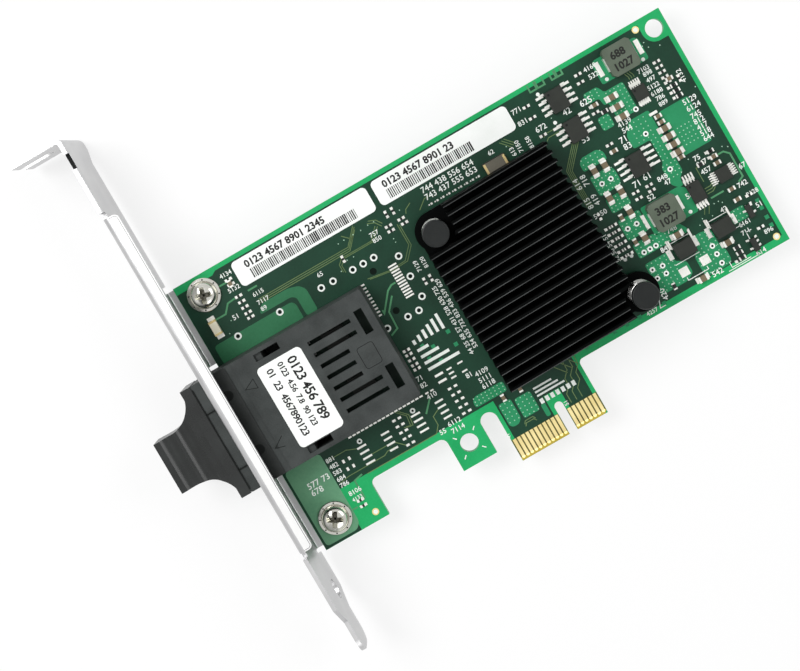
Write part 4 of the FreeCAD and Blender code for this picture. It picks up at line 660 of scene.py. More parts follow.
# fields of vias from their low corner to their high one, and loose ones
viaFields = [
    ((40.4, 51.8), (44.2, 57.4)), ((36.5, 57.7), (38.9, 59.2)), ((36.5, 51.2), (38.5, 53.3)),
    ((41.3, 45.2), (44.6, 49.4)), ((43.7, 39.6), (44.7, 44.4)), ((43, 35.6), (45.8, 38.4)),
    ((29.1, 46), (33.5, 47.9)), ((29.3, 40), (33.8, 43.7)), ((29.8, 35.5), (33.5, 38.1)),
    ((29.8, 29.1), (34, 33)), ((30, 24.6), (36.6, 27.2)), ((30.2, 16), (35.2, 22.4)),
    ((39.9, 14.6), (45.5, 18.9)), ((41.6, 19), (44.9, 22.5)), ((48.6, 40), (52.2, 43.8)),
    ((-14.6, 14.9), (-8, 16.4)), ((-10.5, 8.3), (-8.4, 12.3)), ((-7.1, 7.9), (-4, 11.8)),
    ((50.2, 21.1), (53, 23.2)),
]
looseVias = [
    (-22.6, 58.2), (-21.2, 58.3), (-19, 58.3), (-17.2, 58.3), (-15.4, 58.5), (-14, 58.5), (-12.2, 53.4),
    (-22.7, 54.4), (-21.2, 54.3), (-49.7, 55.6), (-51.3, 53.4), (-12.2, 52.6), (52.2, 62.5), (52.6, 61.2),
    (54.8, 60.4), (56.9, 49.4), (44.8, 25.1), (49.4, 26.6), (48.4, 26.6), (43.7, 24.2), (46.9, 24.6),
    (55.6, 36), (56.6, 35.4), (56.8, 30), (51.6, 62), (28.2, 58.6), (28.2, 64.4), (48.3, 37.2), (50, 26),
    (-24.9, 53), (-8.2, 57.9), (17.3, 58.2), (19.6, 57),
]
viaPitch = 0.98
viaPlaces = list(looseVias)
for low, high in viaFields:
    wide, deep = high[0] - low[0], high[1] - low[1]
    columns, lines = max(1, round(wide / viaPitch)), max(1, round(deep / viaPitch))
    viaPlaces += [(low[0] + wide * column / columns, low[1] + deep * line / lines)
                  for line in range(lines + 1) for column in range(columns + 1)]
inkTop = top + artwork["inkHigh"]
# each set of round marks: places, width, how far it stays under the print's top, finish, slot and sides
roundMarks = {
    "ring_pads": (ringPlaces, 1.55, 0.01, "whiteInk", "pin_tin", 24),
    "ring_bores": (ringPlaces, 0.85, 0, "holeDark", "board_green", 24),
    "test_rings": (testPlaces, 1.15, 0.01, "whiteInk", "pin_tin", 20),
    "test_bores": (testPlaces, 0.5, 0, "holeDark", "board_green", 16),
    "open_holes": ([(-19.2, 49.7), (-19.2, 40.3)], 1.45, 0.03, "holeDark", "board_green", 24),
    "mount_rings": (mountPlaces, 1.5, 0.02, "hardGold", "contact_gold", 24),
    "mount_eyes": (mountPlaces, 0.95, 0, "whiteInk", "pin_tin", 24),
    "small_vias": (viaPlaces, 0.24, 0.015, "maskedVia", "board_green", 8),
}
for name, (places, width, below, finish, slot, sides) in roundMarks.items():
    dots(name, places, width, top, inkTop - below, finish, slot, sides=sides)
print("holes and vias:", len(ringPlaces) + len(testPlaces) + len(viaPlaces))

# Solder pads: under the parts that stand on the board, and bare ones where none stands

# rows of pads: the first one's place, the step to the next, how many, and each one's length and width
padRows = [
    ((28.1, 63.35), (0, -1.27), 4, (1.7, 0.55)), ((34, 63.35), (0, -1.27), 4, (1.9, 0.55)),
    ((28.2, 56.25), (0, -1.27), 4, (1.7, 0.55)), ((34.2, 56.25), (0, -1.27), 4, (1.9, 0.55)),
    ((35.6, 43.75), (0, -1.27), 4, (2, 0.5)), ((42, 43.75), (0, -1.27), 4, (2.4, 0.5)),
    ((45.5, 56.4), (0.5, 0), 5, (0.3, 1.3)), ((45.5, 52), (0.5, 0), 5, (0.3, 1.3)),
    ((45.4, 33.9), (0.65, 0), 4, (0.36, 1.6)), ((45.4, 27.7), (0.65, 0), 4, (0.36, 1.6)),
    ((50.6, 31.9), (0, -0.5), 5, (1.2, 0.26)), ((55.3, 31.9), (0, -0.5), 5, (1.2, 0.26)),
    ((-15.2, 48.8), (0, -0.66), 12, (1.9, 0.36)), ((-22.6, 48.3), (0, -0.8), 10, (0.9, 0.36)),
    ((-39.6, 19.4), (0, -1.25), 4, (2.1, 0.42)), ((-34, 19.4), (0, -1.25), 4, (1.9, 0.42)),
    ((-26.6, 19.6), (0, -1.25), 4, (2.1, 0.42)), ((-21, 19.6), (0, -1.25), 4, (1.9, 0.42)),
    ((-40.7, 22.3), (2, 0), 9, (0.75, 0.34)), ((-39.7, 22.3), (2, 0), 9, (0.75, 0.34)),
    ((-31.1, 20.7), (0, -1.45), 5, (0.75, 0.5)), ((-29.8, 20.7), (0, -1.45), 5, (0.75, 0.5)),
    ((-17.8, 20.7), (0, -1.48), 5, (0.75, 0.5)), ((-16.4, 20.7), (0, -1.48), 5, (0.75, 0.5)),
    ((-44.4, 18.6), (0, -1.8), 2, (0.5, 0.75)), ((-43, 18.6), (0, -1.8), 2, (0.5, 0.75)),
    ((-18.2, 24.4), (0, -1.5), 2, (1.9, 0.5)), ((-15.8, 24.4), (0, -1), 3, (1.2, 0.36)),
    ((-13.2, 24.4), (0, -2), 2, (1.2, 0.36)), ((-22.3, 22.3), (1.2, 0), 2, (0.75, 0.34)),
    ((-1.8, 55.75), (1.4, 0), 9, (0.42, 0.42)), ((-2.35, 55.75), (1.4, 0), 9, (0.28, 0.28)),
]
pads = [
    (41.6, 62.3, 1, 3.2), (50.9, 62.3, 1, 3.2), (34.3, 30.4, 0.8, 3.1), (42.4, 30.4, 0.8, 3.1),
    (35.3, 21.9, 1, 2.2), (41.2, 21.9, 1.1, 2.2), (44.4, 21.9, 0.9, 2.2), (50.4, 21.9, 0.8, 2.2),
    (36.2, 17.45, 2, 1.9), (41.1, 17.45, 2, 1.9), (46.75, 49, 1.8, 0.6),
]
# middles of bare part places that lie along x and along y
bareLevel = [
    (40.95, 56.15), (40.95, 53.9), (40.95, 51.65), (47.15, 45.2), (47.15, 43.3), (47.15, 41.5),
    (47.15, 39.6), (38.6, 24.9), (46.8, 18.35), (38.8, 14.45),
]
bareUpright = [
    (30.35, 44.8), (32.8, 44.8), (30.3, 38.4), (33.05, 38.4), (32.55, 33.9), (32.55, 27.7),
]
# how far a bare part's pads are from its middle, and their length and width
barePad = (1.05, 0.9, 1.25)


def bothEnds(places, reach, long, wide, upright=False):
    # a block at both ends of every place, which lies along x, or along y where it is upright
    if upright:
        return [(x, y + side * reach, wide, long) for x, y in places for side in (-1, 1)]
    return [(x + side * reach, y, long, wide) for x, y in places for side in (-1, 1)]


pads += [(x + step[0] * number, y + step[1] * number, long, wide)
         for (x, y), step, count, (long, wide) in padRows for number in range(count)]
pads += bothEnds(bareLevel, *barePad) + bothEnds(bareUpright, *barePad, True)
padTop = top + artwork["padHigh"]
blocks("tin_pads", pads, top, padTop, "reflowedTin", "pin_tin")

# Small resistors and capacitors that the board carries beside the modelled ones

smallParts = {
    "long": 1.0,
    "wide": 0.5,
    "high": 0.4,
    "end": 0.26,
    "endProud": 0.02,
    "foot": 0.42,
    "footReach": 0.6,
    "footProud": 0.05,
    # columns of level ones: first place, step, how many
    "columns": [((52.5, 57.8), -1.18, 8), ((27.0, 33.1), -1.35, 6), ((28.3, 33.1), -1.35, 6),
                ((52.6, 36.5), -1.15, 2)],
    "level": [
        (37.3, 63.6), (37, 61.9), (24.9, 63.2), (24.9, 60.6), (25, 56.4), (36.7, 56.5), (36.6, 55),
        (35.8, 47.9), (35.8, 46.3), (38.7, 36.6), (38.7, 35.4), (35.6, 36.7), (35.6, 35.3), (-45.9, 63.2),
        (-45.9, 62.1), (-45.8, 59.2), (-45.8, 57.9), (-45.8, 56.6), (-45.8, 55.3), (-45.8, 54.2),
        (-45.4, 9.9), (-45.4, 8.6), (54.3, 22.8), (54.3, 17.6), (47, 13.9), (-11.8, 56.2), (-8.8, 56.2),
        (-8.6, 55.1), (-11.8, 55.1), (-21.5, 32.1), (-21.5, 31.1), (-21.5, 29.9), (-21.5, 28.7),
        (-21.5, 27.7), (55.5, 24.6),
    ],
    "upright": [
        (-11, 58.5), (-9.5, 58.5), (-11, 42.6), (-9.6, 42.6), (26.7, 36.1), (54.9, 52.6), (-23.3, 55),
    ],
}
long, wide, end = smallParts["long"], smallParts["wide"], smallParts["end"]
endWide, footWide = wide + smallParts["endProud"] * 2, wide + smallParts["footProud"] * 2
cores, ends, feet = [], [], []
levelParts = smallParts["level"] + [(x, y + step * number) for (x, y), step, count in smallParts["columns"]
                                    for number in range(count)]
for places, upright in ((levelParts, False), (smallParts["upright"], True)):
    size = (wide, long - end * 2) if upright else (long - end * 2, wide)
    cores += [(x, y, *size) for x, y in places]
    ends += bothEnds(places, (long - end) / 2, end, endWide, upright)
    feet += bothEnds(places, smallParts["footReach"], smallParts["foot"], footWide, upright)
partTop = top + smallParts["high"]
blocks("small_part_cores", cores, top, partTop, "resistorGlaze", "resistor_dark")
blocks("small_part_ends", ends, top, partTop + smallParts["endProud"], "reflowedTin", "end_tin")
blocks("small_part_pads", feet, top, padTop, "reflowedTin", "pin_tin")
print("pads and small parts:", len(pads) + len(cores))

# The tongue: glass cloth between the contacts, a golden bevel, and the contacts' ends past their solid part

tongue = {
    "left": (-12.12, -0.98),
    "right": (0.98, 8.12),
    "corner": 1.0,
    "lower": 0.02,
    "upper": 4.98,
    "bevelHigh": 0.9,
    "bevelDeep": 0.4,
    "filmHigh": 0.008,
    "sunk": 0.02,
    "contactHalf": 0.35,
    "contactHigh": 0.05,
    "tail": (0.45, 0.97),
    "head": (4.45, 4.92),
    "contacts": [-1.5 - step for step in range(11)] + [1.5 + step for step in range(7)],
}


def tongueFilm(name, outlines, rise, finish, slot):
    # a film whose part below the bevel lies on the bevel's slope, and its twin on the solder side
    mesh = plateMesh(name, outlines, top - tongue["sunk"], top + rise)
    for vertex in mesh.vertices:
        past = tongue["bevelHigh"] * mm - vertex.co.y
        if past > 0:
            vertex.co.z -= past * tongue["bevelDeep"] / tongue["bevelHigh"]
    shape = bmesh.new()
    shape.from_mesh(mesh)
    twin = bmesh.ops.duplicate(shape, geom=shape.verts[:] + shape.edges[:] + shape.faces[:])["geom"]
    for part in twin:
        if isinstance(part, bmesh.types.BMVert):
            part.co.z = top * mm - part.co.z
    bmesh.ops.reverse_faces(shape, faces=[part for part in twin if isinstance(part, bmesh.types.BMFace)])
    addPiece(name, meshOf(name, shape), finish, slot)


lower, bevelHigh, half = tongue["lower"], tongue["bevelHigh"], tongue["contactHalf"]
nearSide, farSide = tongue["right"]
tailLow, tailHigh = tongue["tail"]
clothFaces = [oblong((start, bevelHigh), (end, tongue["upper"]))
              for start, end in (tongue["left"], tongue["right"])]
roundedCorner = arc((farSide - tongue["corner"], lower + tongue["corner"]), tongue["corner"], -90, -15, 5)
bevelFaces = [oblong((tongue["left"][0], lower), (tongue["left"][1], bevelHigh)),
              [(nearSide, bevelHigh), (nearSide, lower)] + roundedCorner + [(farSide, bevelHigh)]]
# each contact ends in a round tail on the bevel and a short head at the upper end
contactEnds = [[(x - half, tailHigh)] + arc((x, tailLow + half), half, 180, 360, 9) + [(x + half, tailHigh)]
               for x in tongue["contacts"]]
contactEnds += [oblong((x - half, tongue["head"][0]), (x + half, tongue["head"][1]))
                for x in tongue["contacts"]]
tongueFilm("tongue_faces", clothFaces, tongue["filmHigh"], "bareGlassCloth", "board_green")
tongueFilm("tongue_bevels", bevelFaces, tongue["filmHigh"], "cutGlassCloth", "board_green")
tongueFilm("contact_ends", contactEnds, tongue["contactHigh"], "hardGold", "contact_gold")

# White print on the board: plain numbers, part outlines and plain bars where marks would be

# each height and turn in degrees, with its numbers and their places
numbers = {
    (0.85, 0): [
        ("4133", -46.9, 10.2),
    ],
    (0.92, 0): [
        ("4257", 25.1, 13.2), ("6115", -43.2, 57.4),
    ],
    (0.98, 0): [
        ("62", 13.3, 58.3), ("757", -16.2, 55.9), ("850", -16.2, 54.6), ("7103", 48.1, 57.4),
        ("898", 48.8, 56.3), ("497", 48.8, 54.9), ("5122", 48.2, 53.4), ("6188", 48.2, 52),
        ("786", 48.6, 50.7), ("889", 48.6, 49.4), ("8128", 55, 24.3), ("6161", 50.6, 19.6),
        ("711", 50.2, 17.9), ("896", 54.4, 15.8), ("881", -47.6, 19.9), ("482", -47.6, 18.4),
        ("583", -47.6, 16.9), ("684", -47.6, 15.4), ("786", -47.6, 14), ("7117", -43.2, 55.5),
        ("89", -43.2, 54), ("4134", -47.2, 64), ("5132", -47.2, 60.6), ("65", -29.7, 54.2),
    ],
    (1.04, 0): [
        ("4160", 38.7, 63.2), ("8106", -46.9, 11.6),
    ],
    (1.1, 0): [
        ("771", 21.6, 63), ("831", 21.6, 60.3), ("532", 38.9, 61.4), ("4139", 39.2, 49.8),
        ("544", 39.4, 48.4), ("848", 40.7, 36.1), ("47", 41.6, 34.8), ("5150", 25.6, 36),
        ("748", 37.1, 25.9), ("84", 34.1, 23.1), ("614", 50.8, 12.75), ("75", 49.2, 36.1),
        ("847", 49.2, 34.7), ("457", 49.2, 32.9), ("67", 56.5, 30.1), ("742", 54.3, 26.8),
        ("42", 48.8, 24.1), ("51", 55.6, 21.4), ("51", -49.2, 55.3), ("71", -22.8, 25.2),
        ("82", -22.8, 23.6), ("410", -22.8, 20.9), ("55", -24.2, 13.2), ("6112", -21.9, 13.8),
        ("7114", -21.9, 12.2), ("81", -13.6, 20.7), ("4109", -11.8, 20), ("5111", -11.8, 18.5),
        ("6118", -11.8, 17.1),
    ],
    (1.16, 0): [
        ("5129", 53, 47.2), ("6124", 53, 45.6), ("745", 53, 43.9), ("812", 53, 42.6), ("417", 53, 41.2),
        ("518", 53, 39.9), ("644", 53, 38.6),
    ],
    (1.22, 0): [
        ("672", 24.1, 57.4), ("52", 37, 33.7), ("542", 40.8, 13.4), ("58", 44, 30.1),
    ],
    (1.3, 0): [
        ("744 438 556 654", -2.4, 58.45), ("743 437 555 653", -2.4, 56.8),
    ],
    (1.34, 0): [
        ("42", 30.7, 57.6), ("53", 31.2, 50.8), ("625", 34.6, 57.4), ("71", 37.9, 46.8), ("83", 38, 45.2),
        ("71", 35.8, 37.5), ("577", -53.6, 17), ("678", -53.6, 15.4), ("73", -50.2, 17),
    ],
    (1.4, 0): [
        ("61", 38.3, 37.8),
    ],
    (0.85, 90): [
        ("41", -11.8, 5.5), ("51", 2, 5.5),
    ],
    (0.92, 90): [
        ("7129", -10.4, 44.8), ("8120", -8.8, 44.8),
    ],
    (0.98, 90): [
        ("52 50 54 51", 26, 26), ("44 25 68 57 431 528 630 725", -9.6, 24.6),
        ("534 635 732 833 436 539 629", -8.3, 25.4), ("613", 18.4, 55.6), ("7150", 20, 55.6),
        ("8158", 22.3, 55.2),
    ],
    (1.1, 90): [
        ("4132", 56, 51.3),
    ],
    (1.22, 90): [
        ("614", 26.6, 42.8), ("718", 28.3, 42.8), ("815", 26.7, 38.3), ("419", 28.3, 38.3),
        ("420", 30.8, 14.3),
    ],
}
numberLines = [(text, (x, y), size, turn)
               for (size, turn), entries in numbers.items() for text, x, y in entries]
figures("board_numbers", numberLines, top, inkTop, "whiteInk", "label_paper", 0.014)

printed = {
    "tickMiddle": (-19.83, 8.92),
    "tickFrom": 2.7,
    "tickTo": 3.6,
    "tickWide": 0.22,
    "lineWide": 0.16,
    "dotWide": 0.8,
    "dotBelow": 0.005,
}
tickStarts, tickEnds = [arc(printed["tickMiddle"], printed[reach], 45, 315, 3)
                        for reach in ("tickFrom", "tickTo")]
printedBars = ribbons(zip(tickStarts, tickEnds), printed["tickWide"])
# plain bars stand where the card carries marks: low and high corner, how these move on, and how many
barRows = [
    ((-19.6, 32.2), (-18.95, 33.2), (1.35, 0), (1.35, 0.5), 6),
    ((-19.6, 26.0), (-12.2, 26.65), (0, 1.5), (-1.6, 1.5), 4),
    ((-2.9, 8.4), (-2.1, 9.5), (1.25, 0), (1.25, 0), 7),
    ((-2.9, 10.1), (3.6, 10.5), (0, 0.85), (-1.1, 0.85), 3),
]
for low, high, lowStep, highStep, count in barRows:
    for bar in range(count):
        printedBars.append(oblong((low[0] + lowStep[0] * bar, low[1] + lowStep[1] * bar),
                                  (high[0] + highStep[0] * bar, high[1] + highStep[1] * bar)))
partOutlines = [
    [(49.6, 13.3), (45.2, 13.3), (45.2, 14.6)], [(36.1, 16.2), (36.1, 15.5), (40.8, 15.5), (40.8, 16.2)],
    [(35.3, 23.9), (40.9, 23.9)], [(35.3, 19.5), (40.9, 19.5)], [(45.3, 23.9), (49.7, 23.9)],
    [(45.4, 20), (51.6, 20)], [(28.8, 15), (28.2, 13.4), (29.5, 13.4)], [(36.8, 39.5), (40.4, 39.5)],
    [(52.4, 18.2), (51.2, 18.2), (51.2, 13.2)], [(44.2, 12.9), (52, 12.9)],
]
printedBars += ribbons(partOutlines, printed["lineWide"])
film("printed_bars", printedBars, top, artwork["inkHigh"], "whiteInk", "label_paper", 0)
pinMarks = [(28.2, 64.2), (28.4, 57.4), (43.4, 27.6), (42, 59.8), (50.4, 59.6), (26.9, 25.8), (28.4, 25.8)]
dots("pin_marks", pinMarks, printed["dotWide"], top, inkTop - printed["dotBelow"], "whiteInk",
     "label_paper")
print("board print:", len(numberLines), "numbers")

# Labels: one line of plain figures and a row of plain bars on each

labels = {
    "address_label": dict(text="0123 4567 8901 2345", start=2.6, bars=58, barsFrom=3.2, barsTo=27.7,
                          seed=3),
    "serial_label": dict(text="0123 4567 8901 23", start=2.2, bars=46, barsFrom=2.4, barsTo=22, seed=8),
}
labelInk = {
    "figureHigh": 1.55,
    "figuresUp": 3.2,
    "barsUp": 1.65,
    "barsHigh": 0.005,
    "thinnestBar": (0.12, 2.1, 0.03),
    "widestBar": (0.34, 2.1, 0.03),
    "sunk": 0.01,
    "proud": 0.02,
}


def labelFigures(name, lines, level, finish, slot, weight, spacing=1.0):
    figures(name, lines, level - labelInk["sunk"], level + labelInk["proud"], finish, slot, weight, spacing)


labelLines = []
for name, choice in labels.items():
    low, high = boxOf(name)
    level = high.z
    labelLines.append((choice["text"], (low.x + choice["start"], low.y + labelInk["figuresUp"]),
                       labelInk["figureHigh"], 0))
    step = (choice["barsTo"] - choice["barsFrom"]) / (choice["bars"] - 1)
    grow(f"{name}_bars", pointMesh(f"{name}_bars", [(0, 0, 0)]), "bars", "blackInk", "label_paper", {
        "Count": choice["bars"],
        "Start": Vector((low.x + choice["barsFrom"], low.y + labelInk["barsUp"],
                         level + labelInk["barsHigh"])) * mm,
        "Step": (step * mm, 0, 0),
        "Thinnest": Vector(labelInk["thinnestBar"]) * mm,
        "Widest": Vector(labelInk["widestBar"]) * mm,
        "Seed": choice["seed"],
    })
labelFigures("label_numbers", labelLines, level, "blackInk", "label_paper", 0.045)
low, high = boxOf("transceiver_label")
moduleLines = [
    ("0123 456 789", (low.x + 6.5, high.y - 1.1), 2.05, -90),
    ("0123  4.56  7.8  90 123", (low.x + 4.35, high.y - 1.0), 1.25, -90),
    ("01  23  4567890123", (low.x + 1.7, high.y - 1.2), 1.5, -90),
]
labelFigures("module_label_numbers", moduleLines, high.z, "blackInk", "label_paper", 0.03, 0.92)

# Figures printed in dark ink on the two inductors

coilLines = []
for name, text in {"upper_coil": "688", "lower_coil": "383"}.items():
    low, high = boxOf(name)
    coilLines += [(text, (low.x + 1.2, low.y + 3.5), 1.6, 0), ("1027", (low.x + 0.75, low.y + 1.0), 1.6, 0)]
labelFigures("coil_numbers", coilLines, high.z, "greyInk", "coil_grey", 0.05)
print("labels printed")

# Screws: a dished captive washer with eight small dimples round a domed head with a cross recess

screws = {
    "washerWide": 7.1,
    "sides": 64,
    "cutterTop": 2.3,
    "crossLong": 3.9,
    "crossWide": 1.1,
    "crossDeep": 1.6,
    "footLong": 1.5,
    "footWide": 0.5,
    "crossTurns": (75, 62),
    "floorReach": 0.85,
    "floorWide": 0.5,
    "floorHigh": 0.12,
    "floorSunk": 0.2,
    "dimpleRing": 3.17,
    "dimpleWide": 0.34,
    "dimpleFrom": 0.5,
    "dimpleTo": 0.606,
    "shank": [(0, -1.36), (1.25, -1.36), (1.45, -1.2)],
    # washer and head: radius and height over the board
    "head": [(1.45, 0), (3.45, 0), (3.55, 0.08), (3.55, 0.46), (3.44, 0.58), (2.95, 0.6), (2.82, 0.42),
             (2.64, 0.36), (2.62, 1.0), (2.5, 1.45), (2.2, 1.8), (1.7, 2.04), (0.9, 2.17), (0, 2.2)],
}
screwProfile = screws["shank"] + [(radius, top + height) for radius, height in screws["head"]]
recessFloor = top + screws["cutterTop"] - screws["crossDeep"]
screwLow, screwHigh = boxOf("bracket_screws")
reach = screws["washerWide"] / 2
screwPlaces = [((screwLow.x + screwHigh.x) / 2, y) for y in (screwHigh.y - reach, screwLow.y + reach)]


def wingCutter(place, turn):
    # one wing of the cross recess, which narrows downwards
    shape = bmesh.new()
    corners = []
    for level, long, wide in ((recessFloor, screws["footLong"], screws["footWide"]),
                              (top + screws["cutterTop"], screws["crossLong"], screws["crossWide"])):
        for x, y in oblong((-long / 2, -wide / 2), (long / 2, wide / 2)):
            spot = Matrix.Rotation(math.radians(turn), 2) @ Vector((x, y))
            x, y = place[0] + spot.x, place[1] + spot.y
            corners.append(shape.verts.new((x * mm, y * mm, level * mm)))
    for face in ((0, 3, 2, 1), (4, 5, 6, 7), (0, 1, 5, 4), (1, 2, 6, 5), (2, 3, 7, 6), (3, 0, 4, 7)):
        shape.faces.new([corners[corner] for corner in face])
    return meshOf("wing", shape)


crosses, dimples = [], []
for number, (place, turn) in enumerate(zip(screwPlaces, screws["crossTurns"])):
    head = latheMesh("screw_head", screwProfile, place, screws["sides"])
    for wingTurn in (turn, turn + 90):
        head = cutMesh(head, wingCutter(place, wingTurn))
        crosses.append(arc(place, screws["floorReach"], wingTurn + 180, wingTurn, 1))
    addPiece(f"screw_{number}", head, "zincPlate", "screw_steel", "bracket_screws")
    dimples += arc(place, screws["dimpleRing"], 22, 337, 7)
# painted shade: a dark floor in each wing of the cross recess
film("screw_recesses", ribbons(crosses, screws["floorWide"]), recessFloor, screws["floorHigh"],
     "paintedShadeZinc", "screw_steel", screws["floorSunk"])
# painted shade: the washer's dimples are dark dots
dots("screw_dimples", dimples, screws["dimpleWide"], top + screws["dimpleFrom"], top + screws["dimpleTo"],
     "holeDark", "screw_steel", sides=12)

# Push pins and the springs under their caps

pushPins = {
    "capWide": 5.6,
    "capHigh": 1.3,
    "shank": 2.9,
    "barbWide": 3.9,
    "split": 0.7,
    "sides": 56,
    "springRoom": 7.0,
    "wire": 0.5,
    "turns": 4.4,
}
pinLow, pinHigh = boxOf("push_pins")
reach = pushPins["capWide"] / 2
pinPlaces = [(pinLow.x + reach, pinHigh.y - reach), (pinHigh.x - reach, pinLow.y + reach)]
capTop, tip = pinHigh.z, pinLow.z
capLow = capTop - pushPins["capHigh"]
shank, barb, split = pushPins["shank"] / 2, pushPins["barbWide"] / 2, pushPins["split"] / 2
pinProfile = [(0, tip), (0.85, tip), (1.0, tip + 0.13), (barb, -0.4), (barb, -0.22), (barb - 0.08, -0.15),
              (shank, -0.15), (shank, capLow), (reach - 0.1, capLow), (reach, capLow + 0.1),
              (reach - 0.02, capTop - 0.22), (reach - 0.12, capTop - 0.05), (reach - 0.3, capTop),
              (reach - 0.42, capTop - 0.1), (0, capTop - 0.14)]
for number, (x, y) in enumerate(pinPlaces):
    whole = latheMesh("push_pin", pinProfile, (x, y), pushPins["sides"])
    slit = plateMesh("split", [oblong((x - 3, y - split), (x + 3, y + split))], tip - 1, top)
    addPiece(f"push_pin_{number}", cutMesh(whole, slit), "blackNylon", "pin_black", "push_pins")
wire, springRoom = pushPins["wire"], pushPins["springRoom"]
springFoot = capLow - springRoom + wire * 0.52
grow("push_springs", pointMesh("push_springs", [(x, y, springFoot) for x, y in pinPlaces]), "spring",
     "drawnWire", "spring_steel", {
         "Turns": pushPins["turns"], "Radius": (reach - wire / 2) * mm,
         "Height": (springRoom - wire * 1.04) * mm, "Wire": wire / 2 * mm}, "push_pin_springs")

# The transceiver's lid: scored lines of the mould's insert and two arrowheads, drawn dark as painted shade
# in their grooves, and a smoother collar behind the bracket, painted darker as the shade of its slope

lid = {
    "insert": ((-29.55, 33.75), (-25.95, 38.45)),
    "insertCorner": 0.7,
    "scoreWide": 0.13,
    "scoreHigh": 0.012,
    "collar": ((-58.55, 24.15), (-54.3, 48.45)),
    "collarHigh": 0.006,
    # straight grooves, each its two ends and its width
    "grooves": [([(-62.2, 24.8), (-62.2, 47.8)], 0.22), ([(-62.2, 42.0), (-59.6, 42.0)], 0.28),
                ([(-62.2, 29.2), (-59.6, 29.2)], 0.28)],
    "arrows": [[(-50.4, 43.7), (-52.8, 42.5), (-50.4, 41.6), (-50.4, 43.7)],
               [(-51.2, 30.9), (-53.6, 29.3), (-51.6, 28.7)]],
}
lidLevel = boxOf("transceiver_housing")[1].z
frameCorners = roundCorners(oblong(*lid["insert"]), lid["insertCorner"], 5)
scored = ribbons(zip(frameCorners, frameCorners[1:] + frameCorners[:1]), lid["scoreWide"])
scored += ribbons(lid["arrows"], lid["scoreWide"])
scored += [ribbon(points, width) for points, width in lid["grooves"]]
film("lid_score", scored, lidLevel, lid["scoreHigh"], "paintedRecessShade", "module_black")
film("lid_collar", [oblong(*lid["collar"])], lidLevel, lid["collarHigh"], "paintedShadeCollar", "module_black")

# The bracket's front flange: its flat face past the bend painted bright as a painted reflection, a line of
# painted shade along it, and painted shade on the floor of the notch in the panel's front edge

flange = {
    "bend": -58.22,
    "inner": -56.3,
    "low": 9.0,
    "high": 85.91,
    "corner": 1.0,
    "faceInset": 0.05,
    "faceHigh": 0.002,
    "lineInset": 0.32,
    "lineWide": 0.13,
    "lineHigh": 0.005,
    "sunk": 0.1,
    "notch": ((-59.46, 97.43), (-58.64, 100.78)),
    "notchFloor": 14.59,
    "notchHigh": 0.01,
    "notchSunk": 0.05,
}
frontLevel = boxOf("io_bracket")[1].z


def flangeOutline(inset):
    # one end of the bend, round both free corners, to the other end
    corner = flange["corner"] - inset
    low, high, middle = flange["low"], flange["high"], flange["inner"] - flange["corner"]
    points = arc((middle, low + flange["corner"]), corner, -90, 0, 6)
    points += arc((middle, high - flange["corner"]), corner, 0, 90, 6)
    return [(flange["bend"], low + inset)] + points + [(flange["bend"], high - inset)]


film("flange_face", [flangeOutline(flange["faceInset"])], frontLevel, flange["faceHigh"], "paintedBrightNickel",
     "bracket_steel", flange["sunk"])
film("flange_edges", [ribbon(flangeOutline(flange["lineInset"]), flange["lineWide"])], frontLevel,
     flange["lineHigh"], "paintedEdgeShade", "bracket_steel", flange["sunk"])
# painted shade on the notch's floor, where the light doesn't reach
film("notch_floor", [oblong(*flange["notch"])], flange["notchFloor"], flange["notchHigh"], "paintedRecessShade",
     "bracket_steel", flange["notchSunk"])

# Painted shade in the mouths of the two latch pockets in the lid, behind the bracket

pockets = {"places": ((-56.4, 43.2), (-56.4, 30.7)), "half": 1.05, "reach": 2.1, "high": 0.01}
half, reach = pockets["half"], pockets["reach"]
mouths = [[(x - reach, y - half)] + arc((x, y), half, -90, 90, 12) + [(x - reach, y + half)]
          for x, y in pockets["places"]]
film("latch_pockets", mouths, lidLevel, pockets["high"], "paintedRecessShade", "module_black")

# Gold ends on the crystal and the lamp, and dimples that mark the first pin of the chips, dark with painted
# shade

crystal = {"endIn": 0.3, "endLong": 0.5, "endNarrower": 0.5, "endLow": 0.1, "endProud": 0.02}
low, high = boxOf("crystal_base")
crystalEnds = [(x, (low.y + high.y) / 2, crystal["endLong"], high.y - low.y - crystal["endNarrower"])
               for x in (low.x + crystal["endIn"], high.x - crystal["endIn"])]
endTop = boxOf("crystal_lid")[1].z + crystal["endProud"]
blocks("crystal_ends", crystalEnds, high.z - crystal["endLow"], endTop, "crystalEnd", "crystal_metal")
lamp = {"endIn": 0.2, "endLong": 0.44, "endWider": 0.04, "endProud": 0.015, "padOut": 0.45,
        "pad": (0.8, 1.6)}
low, high = boxOf("link_lamp")
lampPlace = [((low.x + high.x) / 2, (low.y + high.y) / 2)]
lampHalf, endWide = (high.y - low.y) / 2, high.x - low.x + lamp["endWider"]
lampEnds = bothEnds(lampPlace, lampHalf - lamp["endIn"], lamp["endLong"], endWide, True)
blocks("lamp_ends", lampEnds, top, high.z + lamp["endProud"], "crystalEnd", "pin_tin")
lampPads = bothEnds(lampPlace, lampHalf + lamp["padOut"], *lamp["pad"], True)
blocks("lamp_pads", lampPads, top, padTop, "reflowedTin", "pin_tin")
chipDimple = {
    "wide": 0.5,
    "sunk": 0.02,
    "high": 0.004,
    # how far it is from each chip's corner
    "inset": {"upper_switch": 0.75, "middle_switch": 0.75, "memory_chip": 0.75, "upper_driver": 0.6,
              "sense_chip": 0.7},
}
for name, inset in chipDimple["inset"].items():
    low, high = boxOf(name)
    place = (low.x + inset, high.y - inset)
    dots(f"{name}_dimple", [place], chipDimple["wide"], high.z - chipDimple["sunk"],
         high.z + chipDimple["high"], "paintedRecessShade", "chip_black")
